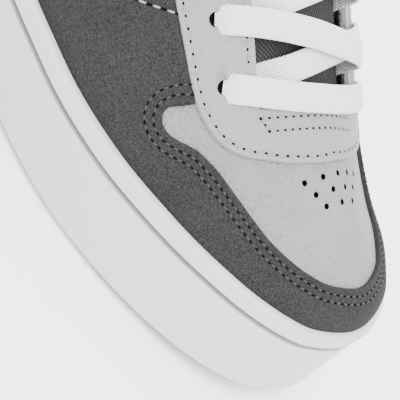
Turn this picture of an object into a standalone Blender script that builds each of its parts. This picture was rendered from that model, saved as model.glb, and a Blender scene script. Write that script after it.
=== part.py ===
# A right low-cut skateboarding shoe, empty and standing on its sole.
# Frame: +X to the toe, +Y to the wearer's left (the medial side), +Z up, origin on the floor under the middle.
import math

import bpy
import bmesh
import numpy as np

for old in list(bpy.data.objects):
    bpy.data.objects.remove(old, do_unlink=True)

# Cupsole, in metres. The plan is measured round the groove in the side wall, from the foot's own middle line.
HEEL_BACK = -0.150
SOLE_LENGTH = 0.3012
BALL_WIDTH = 0.108
WALL_HEIGHT = 0.0307
HEEL_LIFT = 0.004
TOE_SPRING = 0.0052
SPRING_LENGTH = 0.070
ARCH_LIFT = 0.0014
GROOVE_HEIGHT = 0.0247
GROOVE_WIDTH = 0.0014
GROOVE_DEPTH = 0.0007
EDGE_RADIUS = 0.0022
LIP_WIDTH = 0.0042
LIP_ROUND = 0.0014
FLOOR_HEIGHT = 0.0150
ARCH_MIDDLE = 0.46
ARCH_REACH = 0.14
TREAD_DEPTH = 0.0025
TREAD_GROOVE = 0.0040
TREAD_MARGIN = 0.0085
FOREFOOT_GROOVES = 7
FOREFOOT_BOW = 0.012
HEEL_GROOVES = 4
HEEL_BOW = -0.008

# Clearance between pieces that touch
SEAT_GAP = 0.0003
OVERLAY_GAP = 0.0004
SEAM_GAP = 0.0006

# Upper and the pieces sewn to it
UPPER_WALL = 0.0020
OVERLAY = 0.0012
INSTEP_HEIGHT = 0.088
SIDE_BULGE = 0.0012
TOE_FAN = 0.040
HEEL_FAN = 0.030
THROAT_LATERAL = 0.0220
THROAT_MEDIAL = 0.0250
THROAT_FRONT = 0.0890
THROAT_BOW = 0.0016
THROAT_SKEW = 0.159
THROAT_BACK = -0.034
COLLAR_HEIGHT = 0.104
EYESTAY_BACK = -0.022
EYESTAY_WIDTH = 0.0224
EYESTAY_REACH = 0.0373
EYESTAY_NOSE = 0.0253
EYESTAY_FRONT = 0.0144
EYESTAY_SKEW = 0.08
EYESTAY_TURN = 0.014
CENTRE_STEP = 1e-5
EYELET_PAIRS = 6
EYELET_PITCH = 0.0182
EYELET_SETBACK = 0.0080
FRONT_EYELETS = 0.0818
EYELET_RADIUS = 0.0022
EYELET_PUNCH = 0.006
COLLAR_PAD = 0.0055
UPPER_RIBS = 38
COLLAR_RIBS = 12
COLLAR_DEPTH = 0.034
COLLAR_DROP = 0.001
UPPER_RISES = (-1.0, 0.0, 0.035, 0.10, 0.19, 0.29, 0.41, 0.54, 0.68, 0.84, 1.0)

# Tongue, insole and lace
TONGUE_THICK = 0.0048
TONGUE_FIT = 0.0009
TONGUE_LATERAL = 0.0265
TONGUE_MEDIAL = 0.0300
TONGUE_FRONT = 0.0960
TONGUE_BACK = -0.047
INSOLE_THICK = 0.0042
INSOLE_DISH = 0.003
LACE_WIDTH = 0.0078
LACE_THICK = 0.0015
LACE_FIT = 0.0009
LACE_DIVE = 0.0012
BAR_BOW = 0.0058
CROSS_BOW = 0.0035
CROSS_END = 0.0020
CROSS_BITE = 0.55

# The sole seen from above, heel to toe: shares of SOLE_LENGTH and BALL_WIDTH from the centre line,
# and how far the bottom edge stands out from the groove, as a share of WALL_HEIGHT.
PLAN = (
    # along, lateral, medial, flare
    (0.017, 0.139, 0.139, 0.000),
    (0.050, 0.241, 0.236, 0.000),
    (0.100, 0.315, 0.306, -0.010),
    (0.166, 0.352, 0.338, -0.020),
    (0.249, 0.356, 0.343, -0.040),
    (0.349, 0.343, 0.336, -0.080),
    (0.432, 0.366, 0.350, -0.091),
    (0.498, 0.426, 0.373, -0.091),
    (0.564, 0.471, 0.403, -0.085),
    (0.631, 0.497, 0.431, -0.070),
    (0.697, 0.509, 0.452, -0.042),
    (0.764, 0.484, 0.465, 0.010),
    (0.830, 0.424, 0.447, 0.058),
    (0.863, 0.387, 0.431, 0.072),
    (0.896, 0.343, 0.404, 0.080),
    (0.930, 0.291, 0.352, 0.078),
    (0.963, 0.221, 0.257, 0.072),
    (0.983, 0.155, 0.181, 0.065),
)
HEEL_TIP = (0.0, 0.0, 0.0)
TOE_TIP = (1.0, 0.012, 0.062)

# Cross-sections of the last, heel to toe: crown above the lip as a share of INSTEP_HEIGHT,
# fullness (2 is an ellipse, more is boxier), and how much the top falls away to each side.
SECTIONS = (
    # along, crown, fullness, lateral fall, medial fall
    (0.00, 1.000, 3.0, 0.00, 0.00),
    (0.10, 1.000, 3.0, 0.00, 0.00),
    (0.25, 1.000, 2.8, 0.05, 0.05),
    (0.40, 0.950, 2.5, 0.20, 0.15),
    (0.50, 0.860, 2.4, 0.45, 0.20),
    (0.60, 0.740, 2.4, 0.60, 0.20),
    (0.70, 0.555, 2.4, 0.60, 0.20),
    (0.76, 0.425, 2.3, 0.60, 0.32),
    (0.81, 0.335, 2.2, 0.65, 0.55),
    (0.865, 0.264, 2.0, 1.00, 1.00),
    (0.885, 0.239, 1.9, 1.15, 1.15),
    (0.925, 0.208, 1.8, 1.25, 1.25),
    (0.955, 0.186, 1.8, 1.25, 1.25),
    (1.00, 0.160, 1.8, 1.25, 1.25),
)

# The collar's top line from the side, heel to throat, as shares of COLLAR_HEIGHT above the floor
COLLAR_LINE = (
    # along, height
    (0.000, 1.010),
    (0.035, 1.000),
    (0.080, 0.955),
    (0.130, 0.890),
    (0.200, 0.825),
    (0.270, 0.795),
    (0.320, 0.812),
    (0.365, 0.865),
    (0.400, 0.945),
    (0.425, 1.040),
)

# The mudguard's columns from its back edge to the toe tip, on the lateral side. Around is the share of the way
# round the sole from the heel, at the foot of the column and at its top; rise is the share of the section's arc.
MUDGUARD = (
    # around at foot, around at top, rise
    (0.2680, 0.3225, 0.560),
    (0.2870, 0.3330, 0.550),
    (0.3070, 0.3450, 0.535),
    (0.3250, 0.3570, 0.515),
    (0.3370, 0.3655, 0.488),
    (0.3440, 0.3622, 0.440),
    (0.3510, 0.3607, 0.387),
    (0.3590, 0.3630, 0.343),
    (0.3632, 0.3660, 0.333),
    (0.3675, 0.3690, 0.335),
    (0.3780, 0.3786, 0.386),
    (0.3888, 0.3888, 0.424),
    (0.4098, 0.4098, 0.447),
    (0.4330, 0.4330, 0.437),
    (0.4535, 0.4535, 0.427),
    (0.4740, 0.4740, 0.426),
    (0.5000, 0.5000, 0.420),
)

# The heel counter's columns from its front edge to the back of the heel, on the lateral side, where rise is
# again the share of the section's arc.
COUNTER = (
    # around at foot, around at top, rise
    (0.135, 0.1260, 0.020),
    (0.122, 0.1100, 0.055),
    (0.102, 0.0930, 0.095),
    (0.072, 0.0670, 0.130),
    (0.036, 0.0340, 0.150),
    (0.000, 0.0000, 0.155),
)

# The rounded front of the eyestay's outer edge in plan: shares of EYESTAY_NOSE and of EYESTAY_REACH
EYESTAY = (
    # back, out
    (0.040, 0.26),
    (0.116, 0.458),
    (0.223, 0.619),
    (0.309, 0.735),
    (0.469, 0.853),
    (0.609, 0.909),
    (0.767, 0.949),
    (0.964, 0.981),
)


def through(x, table, column):
    """A smooth line through one column of a table whose first column is the place along."""
    xs = np.array([row[0] for row in table])
    ys = np.array([row[column] for row in table])
    slope = np.gradient(ys, xs)
    x = np.clip(x, xs[0], xs[-1])
    i = np.clip(np.searchsorted(xs, x, side="right") - 1, 0, len(xs) - 2)
    span = xs[i + 1] - xs[i]
    s = (x - xs[i]) / span
    start = (2 * s**3 - 3 * s**2 + 1) * ys[i] + (s**3 - 2 * s**2 + s) * span * slope[i]
    return start + (3 * s**2 - 2 * s**3) * ys[i + 1] + (s**3 - s**2) * span * slope[i + 1]


def rounded(points, per_span, closed):
    """A smooth curve through the points, with no overshoot at uneven spacing."""
    points = [np.array(p, float) for p in points]
    if not closed:
        points = [2 * points[0] - points[1]] + points + [2 * points[-1] - points[-2]]
    count = len(points)
    spans = range(count) if closed else range(1, count - 2)
    curve = []
    for k in spans:
        a, b, c, d = (points[(k + j) % count] for j in (-1, 0, 1, 2))
        ab, bc, cd = (max(np.linalg.norm(q[:2] - p[:2]), 1e-9) ** 0.5 for p, q in ((a, b), (b, c), (c, d)))
        leave = (c - b) + bc * ((b - a) / ab - (c - a) / (ab + bc))
        arrive = (c - b) + bc * ((d - c) / cd - (d - b) / (bc + cd))
        for j in range(per_span):
            s = j / per_span
            point = (2 * s**3 - 3 * s**2 + 1) * b + (s**3 - 2 * s**2 + s) * leave
            curve.append(point + (3 * s**2 - 2 * s**3) * c + (s**3 - s**2) * arrive)
    if not closed:
        curve.append(points[-2])
    return np.array(curve)


def sole_plan():
    """The groove line round the sole: x, y, outward normal and flare, starting at the heel, lateral side first."""
    rows = [HEEL_TIP] + [(a, -lateral, flare) for a, lateral, medial, flare in PLAN] + [TOE_TIP]
    rows += [(a, medial, flare) for a, lateral, medial, flare in reversed(PLAN)]
    size = np.array([SOLE_LENGTH, BALL_WIDTH, WALL_HEIGHT])
    ring = rounded([np.array(row) * size for row in rows], 24, True)
    ring[:, 0] += HEEL_BACK
    along_it = np.roll(ring[:, :2], -1, axis=0) - np.roll(ring[:, :2], 1, axis=0)
    along_it /= np.linalg.norm(along_it, axis=1)[:, None]
    outward = np.stack([along_it[:, 1], -along_it[:, 0]], axis=1)
    return np.column_stack([ring[:, :2], outward, ring[:, 2]])


RING = sole_plan()
WIDEST = RING[:, :2] + RING[:, 2:4] * np.maximum(RING[:, 4:5], 0)
CENTRE = np.append((WIDEST.min(axis=0) + WIDEST.max(axis=0)) / 2, 0.0)
STEPS = np.linalg.norm(np.diff(np.vstack([RING, RING[:1]])[:, :2], axis=0), axis=1)
AROUND = np.concatenate([[0.0], np.cumsum(STEPS)]) / STEPS.sum()
HEEL_X = RING[:, 0].min()
TOE_X = RING[:, 0].max()


def plan_at(around):
    columns = [np.interp(np.mod(around, 1.0), AROUND, np.append(c, c[0])) for c in RING.T]
    return np.stack(columns, axis=-1)


def along(x):
    return (x - HEEL_X) / (TOE_X - HEEL_X)


def toe_lift(x):
    return TOE_SPRING * np.clip((x - (TOE_X - SPRING_LENGTH)) / SPRING_LENGTH, 0, None) ** 2


def lip_height(x):
    return WALL_HEIGHT + toe_lift(x) + HEEL_LIFT * np.clip(1 - along(x) / 0.5, 0, 1) ** 1.5


def foot_and_spine(around):
    """A rib of the last in plan: its foot inside the sole's lip, and its end on the centre line."""
    ring = plan_at(around)
    normal = ring[..., 2:4] / np.linalg.norm(ring[..., 2:4], axis=-1)[..., None]
    foot = ring[..., :2] - normal * LIP_WIDTH
    x = foot[..., 0]
    from_toe = (TOE_X - LIP_WIDTH) - np.hypot(np.clip(TOE_X - LIP_WIDTH - x, 0, None), TOE_FAN)
    from_heel = (HEEL_X + LIP_WIDTH) + np.hypot(np.clip(x - HEEL_X - LIP_WIDTH, 0, None), HEEL_FAN)
    share = np.clip((along(x) - 0.35) / 0.3, 0, 1)
    share = share * share * (3 - 2 * share)
    spine = np.stack([from_toe * share + from_heel * (1 - share), np.zeros_like(x)], axis=-1)
    return foot, spine


def last_height(x, y, climb):
    """Height of the last at a plan point, where climb runs from 0 at the foot line to 1 on the crown."""
    crown = INSTEP_HEIGHT * through(along(x), SECTIONS, 1)
    fall = np.where(y < 0, through(along(x), SECTIONS, 3), through(along(x), SECTIONS, 4))
    return lip_height(x) + crown * climb * (1 - fall * (y / (BALL_WIDTH / 2)) ** 2)


def last_point(around, rise):
    """A point of the last: rise is 0 at the lip, 1 on the centre line, and below 0 inside the cup."""
    foot, spine = foot_and_spine(around)
    fullness = through(along(foot[..., 0]), SECTIONS, 2)
    angle = np.clip(rise, 0, 1) * math.pi / 2
    reach = foot - spine
    length = np.linalg.norm(reach, axis=-1)
    out = np.cos(angle) ** (2 / fullness) + SIDE_BULGE / length * np.sin(np.clip(rise, 0, 0.6) / 0.6 * math.pi)
    plan = spine + reach * out[..., None]
    x, y = plan[..., 0], plan[..., 1]
    z = last_height(x, y, np.sin(angle) ** (2 / fullness))
    depth = lip_height(x) - FLOOR_HEIGHT - SEAT_GAP
    return np.stack([x, y, z + np.clip(rise, -1, 0) * depth], axis=-1)


def shell_point(around, rise, lift):
    """A point that stands off the last by lift, along its normal."""
    around, rise, lift = np.broadcast_arrays(*(np.asarray(v, float) for v in (around, rise, lift)))
    inside = np.clip(rise, -1, 0.985)
    du = last_point(around + 0.002, inside) - last_point(around - 0.002, inside)
    dv = last_point(around, inside + 0.01) - last_point(around, inside - 0.01)
    normal = np.cross(du, dv)
    normal /= np.linalg.norm(normal, axis=-1)[..., None]
    crest = np.clip((rise - 0.9) / 0.1, 0, 1)[..., None]
    level = normal * np.array([1.0, 0.0, 1.0])
    normal = normal * (1 - crest) + level * crest
    normal /= np.linalg.norm(normal, axis=-1)[..., None]
    return last_point(around, rise) + normal * lift[..., None]


TOE_SEARCH = np.linspace(0.45, 0.55, 200)
TOE_AROUND = float(np.interp(0.0, foot_and_spine(TOE_SEARCH)[0][:, 1], TOE_SEARCH))
DENSE = {
    -1: np.linspace(0.0, TOE_AROUND, 500),
    1: np.linspace(1.0, TOE_AROUND, 500),
}
SPINES = {side: foot_and_spine(values) for side, values in DENSE.items()}


def opposite(around):
    """The rib of the medial side that meets a lateral rib on the centre line."""
    reach = foot_and_spine(around)[1][..., 0]
    return np.interp(reach, SPINES[1][1][:, 0], DENSE[1])


def rib_at(x, y):
    """The rib and rise of the last under a plan point."""
    side = -1 if y < 0 else 1
    foot, spine = SPINES[side]
    reach = foot - spine
    turn = (x - spine[:, 0]) * reach[:, 1] - y * reach[:, 0]
    turn = turn * side
    k = int(np.clip(len(turn) - np.argmax(turn[::-1] > 0), 1, len(turn) - 1))
    share = turn[k - 1] / (turn[k - 1] - turn[k])
    around = DENSE[side][k - 1] + share * (DENSE[side][k] - DENSE[side][k - 1])
    foot, spine = foot_and_spine(around)
    length = np.linalg.norm(foot - spine)
    fullness = through(along(foot[0]), SECTIONS, 2)
    out = min(math.hypot(x - spine[0], y - spine[1]) / length, 1.0)
    rise = 0.5
    for step in range(8):
        bulge = SIDE_BULGE / length * math.sin(min(max(rise, 0), 0.6) / 0.6 * math.pi)
        rise = math.acos(min(max(out - bulge, 0.0), 1.0) ** (fullness / 2)) / (math.pi / 2)
    return around, rise


def draped(x, y, lift):
    """A point laid over the last at a plan point, standing off it by lift."""
    around, rise = rib_at(x, y)
    return shell_point(around, rise, lift)


def paint(name, colour, roughness):
    material = bpy.data.materials.new(name)
    material.use_nodes = True
    shader = material.node_tree.nodes["Principled BSDF"]
    shader.inputs["Base Color"].default_value = (*colour, 1.0)
    shader.inputs["Roughness"].default_value = roughness
    shader.inputs["Metallic"].default_value = 0.0
    return material


RUBBER = paint("white_rubber", (0.74, 0.74, 0.73), 0.55)
LEATHER = paint("grey_leather", (0.56, 0.55, 0.54), 0.48)
SUEDE = paint("dark_suede", (0.115, 0.115, 0.12), 0.95)
MESH = paint("tongue_mesh", (0.09, 0.09, 0.095), 0.85)
LINING = paint("lining_fabric", (0.20, 0.20, 0.21), 0.9)
FOAM = paint("insole_fabric", (0.30, 0.30, 0.31), 0.9)
COTTON = paint("white_lace", (0.86, 0.86, 0.86), 0.8)


def solid(name, points, faces, material):
    mesh = bpy.data.meshes.new(name)
    mesh.from_pydata([tuple(float(v) for v in np.array(p) - CENTRE) for p in points], [], faces)
    shape = bmesh.new()
    shape.from_mesh(mesh)
    bmesh.ops.recalc_face_normals(shape, faces=shape.faces)
    shape.to_mesh(mesh)
    shape.free()
    mesh.materials.append(material)
    mesh.shade_smooth()
    mesh.set_sharp_from_angle(angle=math.radians(35))
    thing = bpy.data.objects.new(name, mesh)
    bpy.context.scene.collection.objects.link(thing)
    return thing


def thickened(name, outer, inner, faces, material):
    """One closed body from two matching skins: the faces outside, their reverse inside, and a rim between."""
    count = len(outer)
    edges = {}
    for face in faces:
        for a, b in zip(face, face[1:] + face[:1]):
            edges[(a, b)] = True
    rim = [(b, a, a + count, b + count) for a, b in edges if (b, a) not in edges]
    under = [tuple(v + count for v in reversed(face)) for face in faces]
    return solid(name, list(outer) + list(inner), list(faces) + under + rim, material)


def lattice(columns, rows, closed=False):
    """Faces of a grid of points kept column by column."""
    faces = []
    for i in range(columns if closed else columns - 1):
        k = (i + 1) % columns
        for j in range(rows - 1):
            faces.append((i * rows + j, k * rows + j, k * rows + j + 1, i * rows + j + 1))
    return faces


def hide_cutter(cutter):
    cutter.hide_render = True
    cutter.display_type = "WIRE"


def cut(thing, cutter):
    hide_cutter(cutter)
    modifier = thing.modifiers.new("cut_" + cutter.name, "BOOLEAN")
    modifier.operation = "DIFFERENCE"
    modifier.solver = "EXACT"
    modifier.object = cutter


def join(thing, other):
    """Fuses another solid into this one, and drops the other."""
    modifier = thing.modifiers.new("join", "BOOLEAN")
    modifier.operation = "UNION"
    modifier.solver = "EXACT"
    modifier.object = other
    bpy.context.view_layer.update()
    evaluated = thing.evaluated_get(bpy.context.evaluated_depsgraph_get())
    mesh = bpy.data.meshes.new_from_object(evaluated)
    thing.modifiers.clear()
    thing.data = mesh
    bpy.data.objects.remove(other, do_unlink=True)


def ribs(count):
    """Rib places round the last in pairs that meet on the centre line, heel to toe and back to the heel."""
    lateral = TOE_AROUND * np.linspace(0, 1, count + 1)
    medial = opposite(lateral[1:-1])
    return np.concatenate([lateral, medial[::-1]])


def bottom_height(x):
    """Underside of the sole: flat under heel and ball, a little lifted at the arch, and sprung at the toe."""
    arch = np.clip(1 - np.abs(along(x) - ARCH_MIDDLE) / ARCH_REACH, 0, 1)
    return toe_lift(x) + ARCH_LIFT * arch * arch * (3 - 2 * arch)


def make_cupsole():
    """One moulded cup: tread, flared side wall, groove, smooth band above it, rounded lip and inner floor."""
    places = ribs(38)
    plan = plan_at(places)
    normal = plan[:, 2:4] / np.linalg.norm(plan[:, 2:4], axis=1)[:, None]
    base, flare = plan[:, :2], plan[:, 4]
    half = GROOVE_WIDTH / 2
    levels = (
        # outward from the groove line, height at a place along
        (flare - EDGE_RADIUS, bottom_height),
        (flare, lambda x: toe_lift(x) + EDGE_RADIUS),
        (flare * 0.45, lambda x: toe_lift(x) + (GROOVE_HEIGHT - half) * 0.5),
        (flare * 0, lambda x: toe_lift(x) + GROOVE_HEIGHT - half),
        (flare * 0 - GROOVE_DEPTH, lambda x: toe_lift(x) + GROOVE_HEIGHT),
        (flare * 0, lambda x: toe_lift(x) + GROOVE_HEIGHT + half),
        (flare * 0, lambda x: lip_height(x) - LIP_ROUND),
        (flare * 0 - LIP_ROUND, lip_height),
        (flare * 0 - LIP_WIDTH + SEAT_GAP, lip_height),
        (flare * 0 - LIP_WIDTH + SEAT_GAP, lambda x: x * 0 + FLOOR_HEIGHT),
    )
    rings = []
    for out, height in levels:
        ring = base + normal * out[:, None]
        rings.append(np.column_stack([ring, height(ring[:, 0])]))
    count = len(places)
    points = [p for ring in rings for p in ring]
    faces = []
    for r in range(len(rings) - 1):
        for i in range(count):
            k = (i + 1) % count
            faces.append((r * count + i, r * count + k, (r + 1) * count + k, (r + 1) * count + i))

    for start, upward in ((0, False), ((len(rings) - 1) * count, True)):
        for i in range(count // 2):
            across = [start + i, start + i + 1, start + count - i - 1, start + (count - i) % count]
            loop = [v for n, v in enumerate(across) if v != across[n - 1]]
            faces.append(tuple(loop if upward else reversed(loop)))
    sole = solid("cupsole", points, faces, RUBBER)
    cut(sole, make_tread_cutter())
    return sole


def make_tread_cutter():
    """Bowed bars that cut the flex grooves across forefoot and heel, inside a plain rim."""
    points, faces = [], []
    zones = ((0.60, 0.93, FOREFOOT_GROOVES, FOREFOOT_BOW), (0.06, 0.27, HEEL_GROOVES, HEEL_BOW))
    for start, end, number, bow in zones:
        for g in range(number):
            share = start + (end - start) * g / (number - 1)
            x = HEEL_X + share * (TOE_X - HEEL_X)
            across = np.linspace(-1, 1, 5)
            lateral = BALL_WIDTH * float(through(share, PLAN, 1)) - TREAD_MARGIN
            medial = BALL_WIDTH * float(through(share, PLAN, 2)) - TREAD_MARGIN
            first = len(points)
            for s in across:
                middle = x - bow * s * s
                top = bottom_height(middle) + TREAD_DEPTH
                for dx, z in ((-0.5, top), (0.5, top), (0.5, -TREAD_DEPTH), (-0.5, -TREAD_DEPTH)):
                    points.append((middle + dx * TREAD_GROOVE, s * (lateral if s < 0 else medial), z))
            for i in range(len(across) - 1):
                for j in range(4):
                    a, b = first + i * 4 + j, first + i * 4 + (j + 1) % 4
                    faces.append((a, a + 4, b + 4, b))
            last = first + (len(across) - 1) * 4
            faces.append(tuple(first + j for j in range(4)))
            faces.append(tuple(last + j for j in reversed(range(4))))
    return solid("tread_cutter", points, faces, RUBBER)


def make_insole():
    """A cut sheet that lies on the cup's floor inside the upper, a little dished at the heel."""
    places = ribs(24)
    foot, spine = foot_and_spine(places)
    inward = (foot - spine) / np.linalg.norm(foot - spine, axis=1)[:, None]
    edge = foot - inward * (UPPER_WALL + 2 * SEAT_GAP)
    rows = 3
    outer, inner = [], []
    for (px, py), (sx, sy) in zip(edge, spine):
        for j in range(rows):
            share = 1 - j / (rows - 1)
            x = sx + (px - sx) * share
            y = py * share
            dish = INSOLE_DISH * share**4 * np.clip(1 - along(x) / 0.6, 0, 1)
            outer.append((x, y, FLOOR_HEIGHT + SEAT_GAP + INSOLE_THICK + dish))
            inner.append((x, y, FLOOR_HEIGHT + SEAT_GAP))
    outer, inner, faces = meeting(outer, inner, len(places), rows)
    return thickened("insole", outer, inner, faces, FOAM)


def meeting(outer, inner, columns, rows):
    """Skins and faces of a closed grid whose ribs of both sides share their last points on the centre line."""
    index = list(range(columns * rows))
    for i in range(columns // 2 + 1, columns):
        index[i * rows + rows - 1] = (columns - i) * rows + rows - 1
    kept = sorted(set(index))
    place = {v: n for n, v in enumerate(kept)}
    faces = [tuple(place[index[v]] for v in face) for face in lattice(columns, rows, True)]
    return [outer[v] for v in kept], [inner[v] for v in kept], faces


def make_upper():
    """Vamp and quarters as one wall lasted round the foot, open at throat and collar and underneath."""
    places = ribs(UPPER_RIBS)
    around, rise = np.meshgrid(places, UPPER_RISES, indexing="ij")
    outer = shell_point(around, rise, 0.0).reshape(-1, 3)
    inner = shell_point(around, rise, -UPPER_WALL).reshape(-1, 3)
    outer, inner, faces = meeting(outer, inner, len(places), len(UPPER_RISES))
    upper = thickened("upper", outer, inner, faces, LEATHER)
    cut(upper, make_throat_cutter())
    cut(upper, make_collar_cutter())
    cut(upper, make_eyelet_cutter())
    return upper


def throat_half(side):
    return THROAT_LATERAL if side < 0 else THROAT_MEDIAL


def throat_front(y):
    return THROAT_FRONT + THROAT_BOW * (1 - (y / THROAT_LATERAL) ** 2) + THROAT_SKEW * y


def prism(name, outline, low, high, axis):
    """An outline pushed through the shoe along Z, or along Y for a side view."""
    points, faces = [], []
    count = len(outline)
    for level in (low, high):
        for a, b in outline:
            points.append((a, b, level) if axis == "Z" else (a, level, b))
    for i in range(count):
        k = (i + 1) % count
        faces.append((i, k, k + count, i + count))
    faces.append(tuple(reversed(range(count))))
    faces.append(tuple(range(count, 2 * count)))
    if axis == "Y":
        faces = [tuple(reversed(face)) for face in faces]
    return solid(name, points, faces, LEATHER)


def make_throat_cutter():
    """The slot down the instep, with a bowed and slanting front edge."""
    front = [(throat_front(y), y) for y in np.linspace(-THROAT_LATERAL, THROAT_MEDIAL, 9)]
    outline = [(THROAT_BACK, -THROAT_LATERAL)] + front + [(THROAT_BACK, THROAT_MEDIAL)]
    return prism("throat_cutter", outline, lip_height(0.0), 2 * COLLAR_HEIGHT, "Z")


def make_collar_cutter():
    """Everything above the collar's top line, seen from the side."""
    low, high = COLLAR_LINE[0][0], COLLAR_LINE[-1][0]
    shares = np.linspace(low, high, 22)
    line = [(HEEL_X + s * (TOE_X - HEEL_X), COLLAR_HEIGHT * float(through(s, COLLAR_LINE, 1))) for s in shares]
    line = [(line[0][0] - LIP_WIDTH, line[0][1])] + line
    outline = line + [(line[-1][0], 2 * COLLAR_HEIGHT), (line[0][0], 2 * COLLAR_HEIGHT)]
    return prism("collar_cutter", outline, -BALL_WIDTH, BALL_WIDTH, "Y")


def eyelet_places(side):
    """Plan points of one side's eyelets, front to back at an even pitch over the instep."""
    y = side * (throat_half(side) + EYELET_SETBACK)
    xs = np.linspace(FRONT_EYELETS + THROAT_SKEW * y, THROAT_BACK, 80)
    line = np.array([draped(x, y, 0.0) for x in xs])
    run = np.concatenate([[0], np.cumsum(np.linalg.norm(np.diff(line, axis=0), axis=1))])
    return [(float(np.interp(k * EYELET_PITCH, run, xs)), y) for k in range(EYELET_PAIRS)]


def make_eyelet_cutter():
    """Round bars through eyestay and upper at each eyelet, square to the surface."""
    points, faces = [], []
    sides = 10
    for x, y in eyelet_places(-1) + eyelet_places(1):
        top = draped(x, y, EYELET_PUNCH)
        foot = draped(x, y, -EYELET_PUNCH)
        axis = (top - foot) / np.linalg.norm(top - foot)
        across = np.cross(axis, (1.0, 0.0, 0.0))
        across /= np.linalg.norm(across)
        other = np.cross(axis, across)
        first = len(points)
        for end in (foot, top):
            for k in range(sides):
                turn = 2 * math.pi * k / sides
                points.append(end + EYELET_RADIUS * (across * math.cos(turn) + other * math.sin(turn)))
        for k in range(sides):
            n = (k + 1) % sides
            faces.append((first + k, first + n, first + sides + n, first + sides + k))
        faces.append(tuple(first + k for k in reversed(range(sides))))
        faces.append(tuple(first + sides + k for k in range(sides)))
    return solid("eyelet_cutter", points, faces, LEATHER)


def columns_of(table, count):
    """A panel's columns read smoothly from its table: around at the foot, around at the top, rise at the top."""
    dense = rounded([(row[0], row[2], row[1]) for row in table], 12, False)
    step = np.linalg.norm(np.diff(dense[:, [1, 2]] * np.array([0.06, 0.75]), axis=0), axis=1)
    run = np.concatenate([[0], np.cumsum(step)])
    at = np.linspace(0, run[-1], count)
    return [tuple(float(np.interp(v, run, dense[:, c])) for c in (0, 2, 1)) for v in at]


def side_panel(name, table, count, rows, material, toe_end):
    """An overlay that runs from one side round the toe or the heel to the other, standing on the sole's lip."""
    lateral = columns_of(table, count)
    end = TOE_AROUND if toe_end else 0.0
    full = 0.5 if toe_end else 0.0
    scale = end / full if toe_end else 1.0
    lateral = [(foot * scale, top * scale, rise) for foot, top, rise in lateral]
    medial = [(float(opposite(foot)), float(opposite(top)), rise) for foot, top, rise in lateral[:-1]]
    strip = lateral + medial[::-1]
    outer, inner = [], []
    for foot, top, rise in strip:
        if not toe_end:
            foot, top = (foot, top) if foot < 0.5 else (foot - 1, top - 1)
        low = lip_height(foot_and_spine(foot)[0][0])
        high = last_point(top, rise)[2]
        for j in range(rows):
            share = j / (rows - 1)
            place = foot + (top - foot) * share
            height = rise_at_height(place, low + (high - low) * share)
            for skin, lift in ((outer, OVERLAY_GAP + OVERLAY), (inner, OVERLAY_GAP)):
                point = shell_point(place, height, lift)
                if j == 0:
                    point[2] = lip_height(point[0]) + SEAT_GAP
                skin.append(point)
    faces = lattice(len(strip), rows)
    if not toe_end:
        faces = [tuple(reversed(face)) for face in faces]
    return thickened(name, outer, inner, faces, material)


def down_rib(around, rise, distance):
    """The rise reached by going down a rib over the last's surface."""
    rises = np.linspace(rise, 0.0, 60)
    line = last_point(np.full(rises.shape, around), rises)
    run = np.concatenate([[0], np.cumsum(np.linalg.norm(np.diff(line, axis=0), axis=1))])
    return float(np.interp(distance, run, rises))


def down_length(start, end):
    """How far it is over the last's surface between two places given by rib and rise."""
    shares = np.linspace(0, 1, 30)
    line = last_point(start[0] + (end[0] - start[0]) * shares, start[1] + (end[1] - start[1]) * shares)
    return float(np.linalg.norm(np.diff(line, axis=0), axis=1).sum())


def eyestay_edges(side, grow):
    """Rib and rise of the eyestay's inner and outer edge on one side, front centre to back."""
    nose = THROAT_FRONT + THROAT_BOW + EYESTAY_FRONT + grow
    centre = side * CENTRE_STEP
    edges = [(rib_at(throat_front(0.0), centre), rib_at(nose, centre))]
    rows = [(nose - b * EYESTAY_NOSE, o * (EYESTAY_REACH + grow)) for b, o in EYESTAY]
    half = throat_half(side)
    bend = half * 1.2
    for x, y in rounded(rows, 2, False):
        inner_y = min(y / 1.2, half)
        back = EYESTAY_TURN * (max(y - bend, 0.0) / (EYESTAY_REACH - bend)) ** 2
        inner = rib_at(throat_front(side * inner_y) - back, side * inner_y)
        edges.append((inner, rib_at(x + EYESTAY_SKEW * side * y, side * y)))
    front = down_length(*edges[-1])
    inner_x = throat_front(side * half) - EYESTAY_TURN
    for share in np.linspace(0.06, 1.0, 12):
        x = inner_x + (EYESTAY_BACK - grow - inner_x) * share
        around, rise = rib_at(x, side * half)
        width = EYESTAY_WIDTH + grow + (front - EYESTAY_WIDTH - grow) * (1 - min(1, share / 0.3)) ** 2
        edges.append(((around, rise), (around, down_rib(around, rise, width))))
    return edges


def facing(name, grow, low, high):
    """The U-shaped strip round the throat between two lifts off the last."""
    rows = 4
    strip = eyestay_edges(-1, grow)[:0:-1] + eyestay_edges(1, grow)
    outer, inner = [], []
    for (ui, ti), (uo, to) in strip:
        for j in range(rows):
            share = 1 - j / (rows - 1)
            around, rise = ui + (uo - ui) * share, ti + (to - ti) * share
            outer.append(shell_point(around, rise, high))
            inner.append(shell_point(around, rise, low))
    return thickened(name, outer, inner, lattice(len(strip), rows), LEATHER)


def make_eyestay():
    """The facing: a U of leather round the throat, over the vamp, with the lace holes punched through it."""
    eyestay = facing("eyestay", 0.0, OVERLAY_GAP, OVERLAY_GAP + OVERLAY)
    cut(eyestay, bpy.data.objects["eyelet_cutter"])


def make_mudguard():
    """The suede toe wrap, whose horns run back along the eyestay's edge and stop a seam short of it."""
    mudguard = side_panel("mudguard", MUDGUARD, 25, 8, SUEDE, True)
    cut(mudguard, facing("seam_cutter", SEAM_GAP, -OVERLAY, 3 * OVERLAY))


def rise_at_height(around, height):
    """The rise at which a rib reaches a height."""
    rises = np.linspace(0, 1, 120)
    z = last_point(np.full(rises.shape, around), rises)[:, 2]
    return float(np.interp(height, z, rises))


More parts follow.
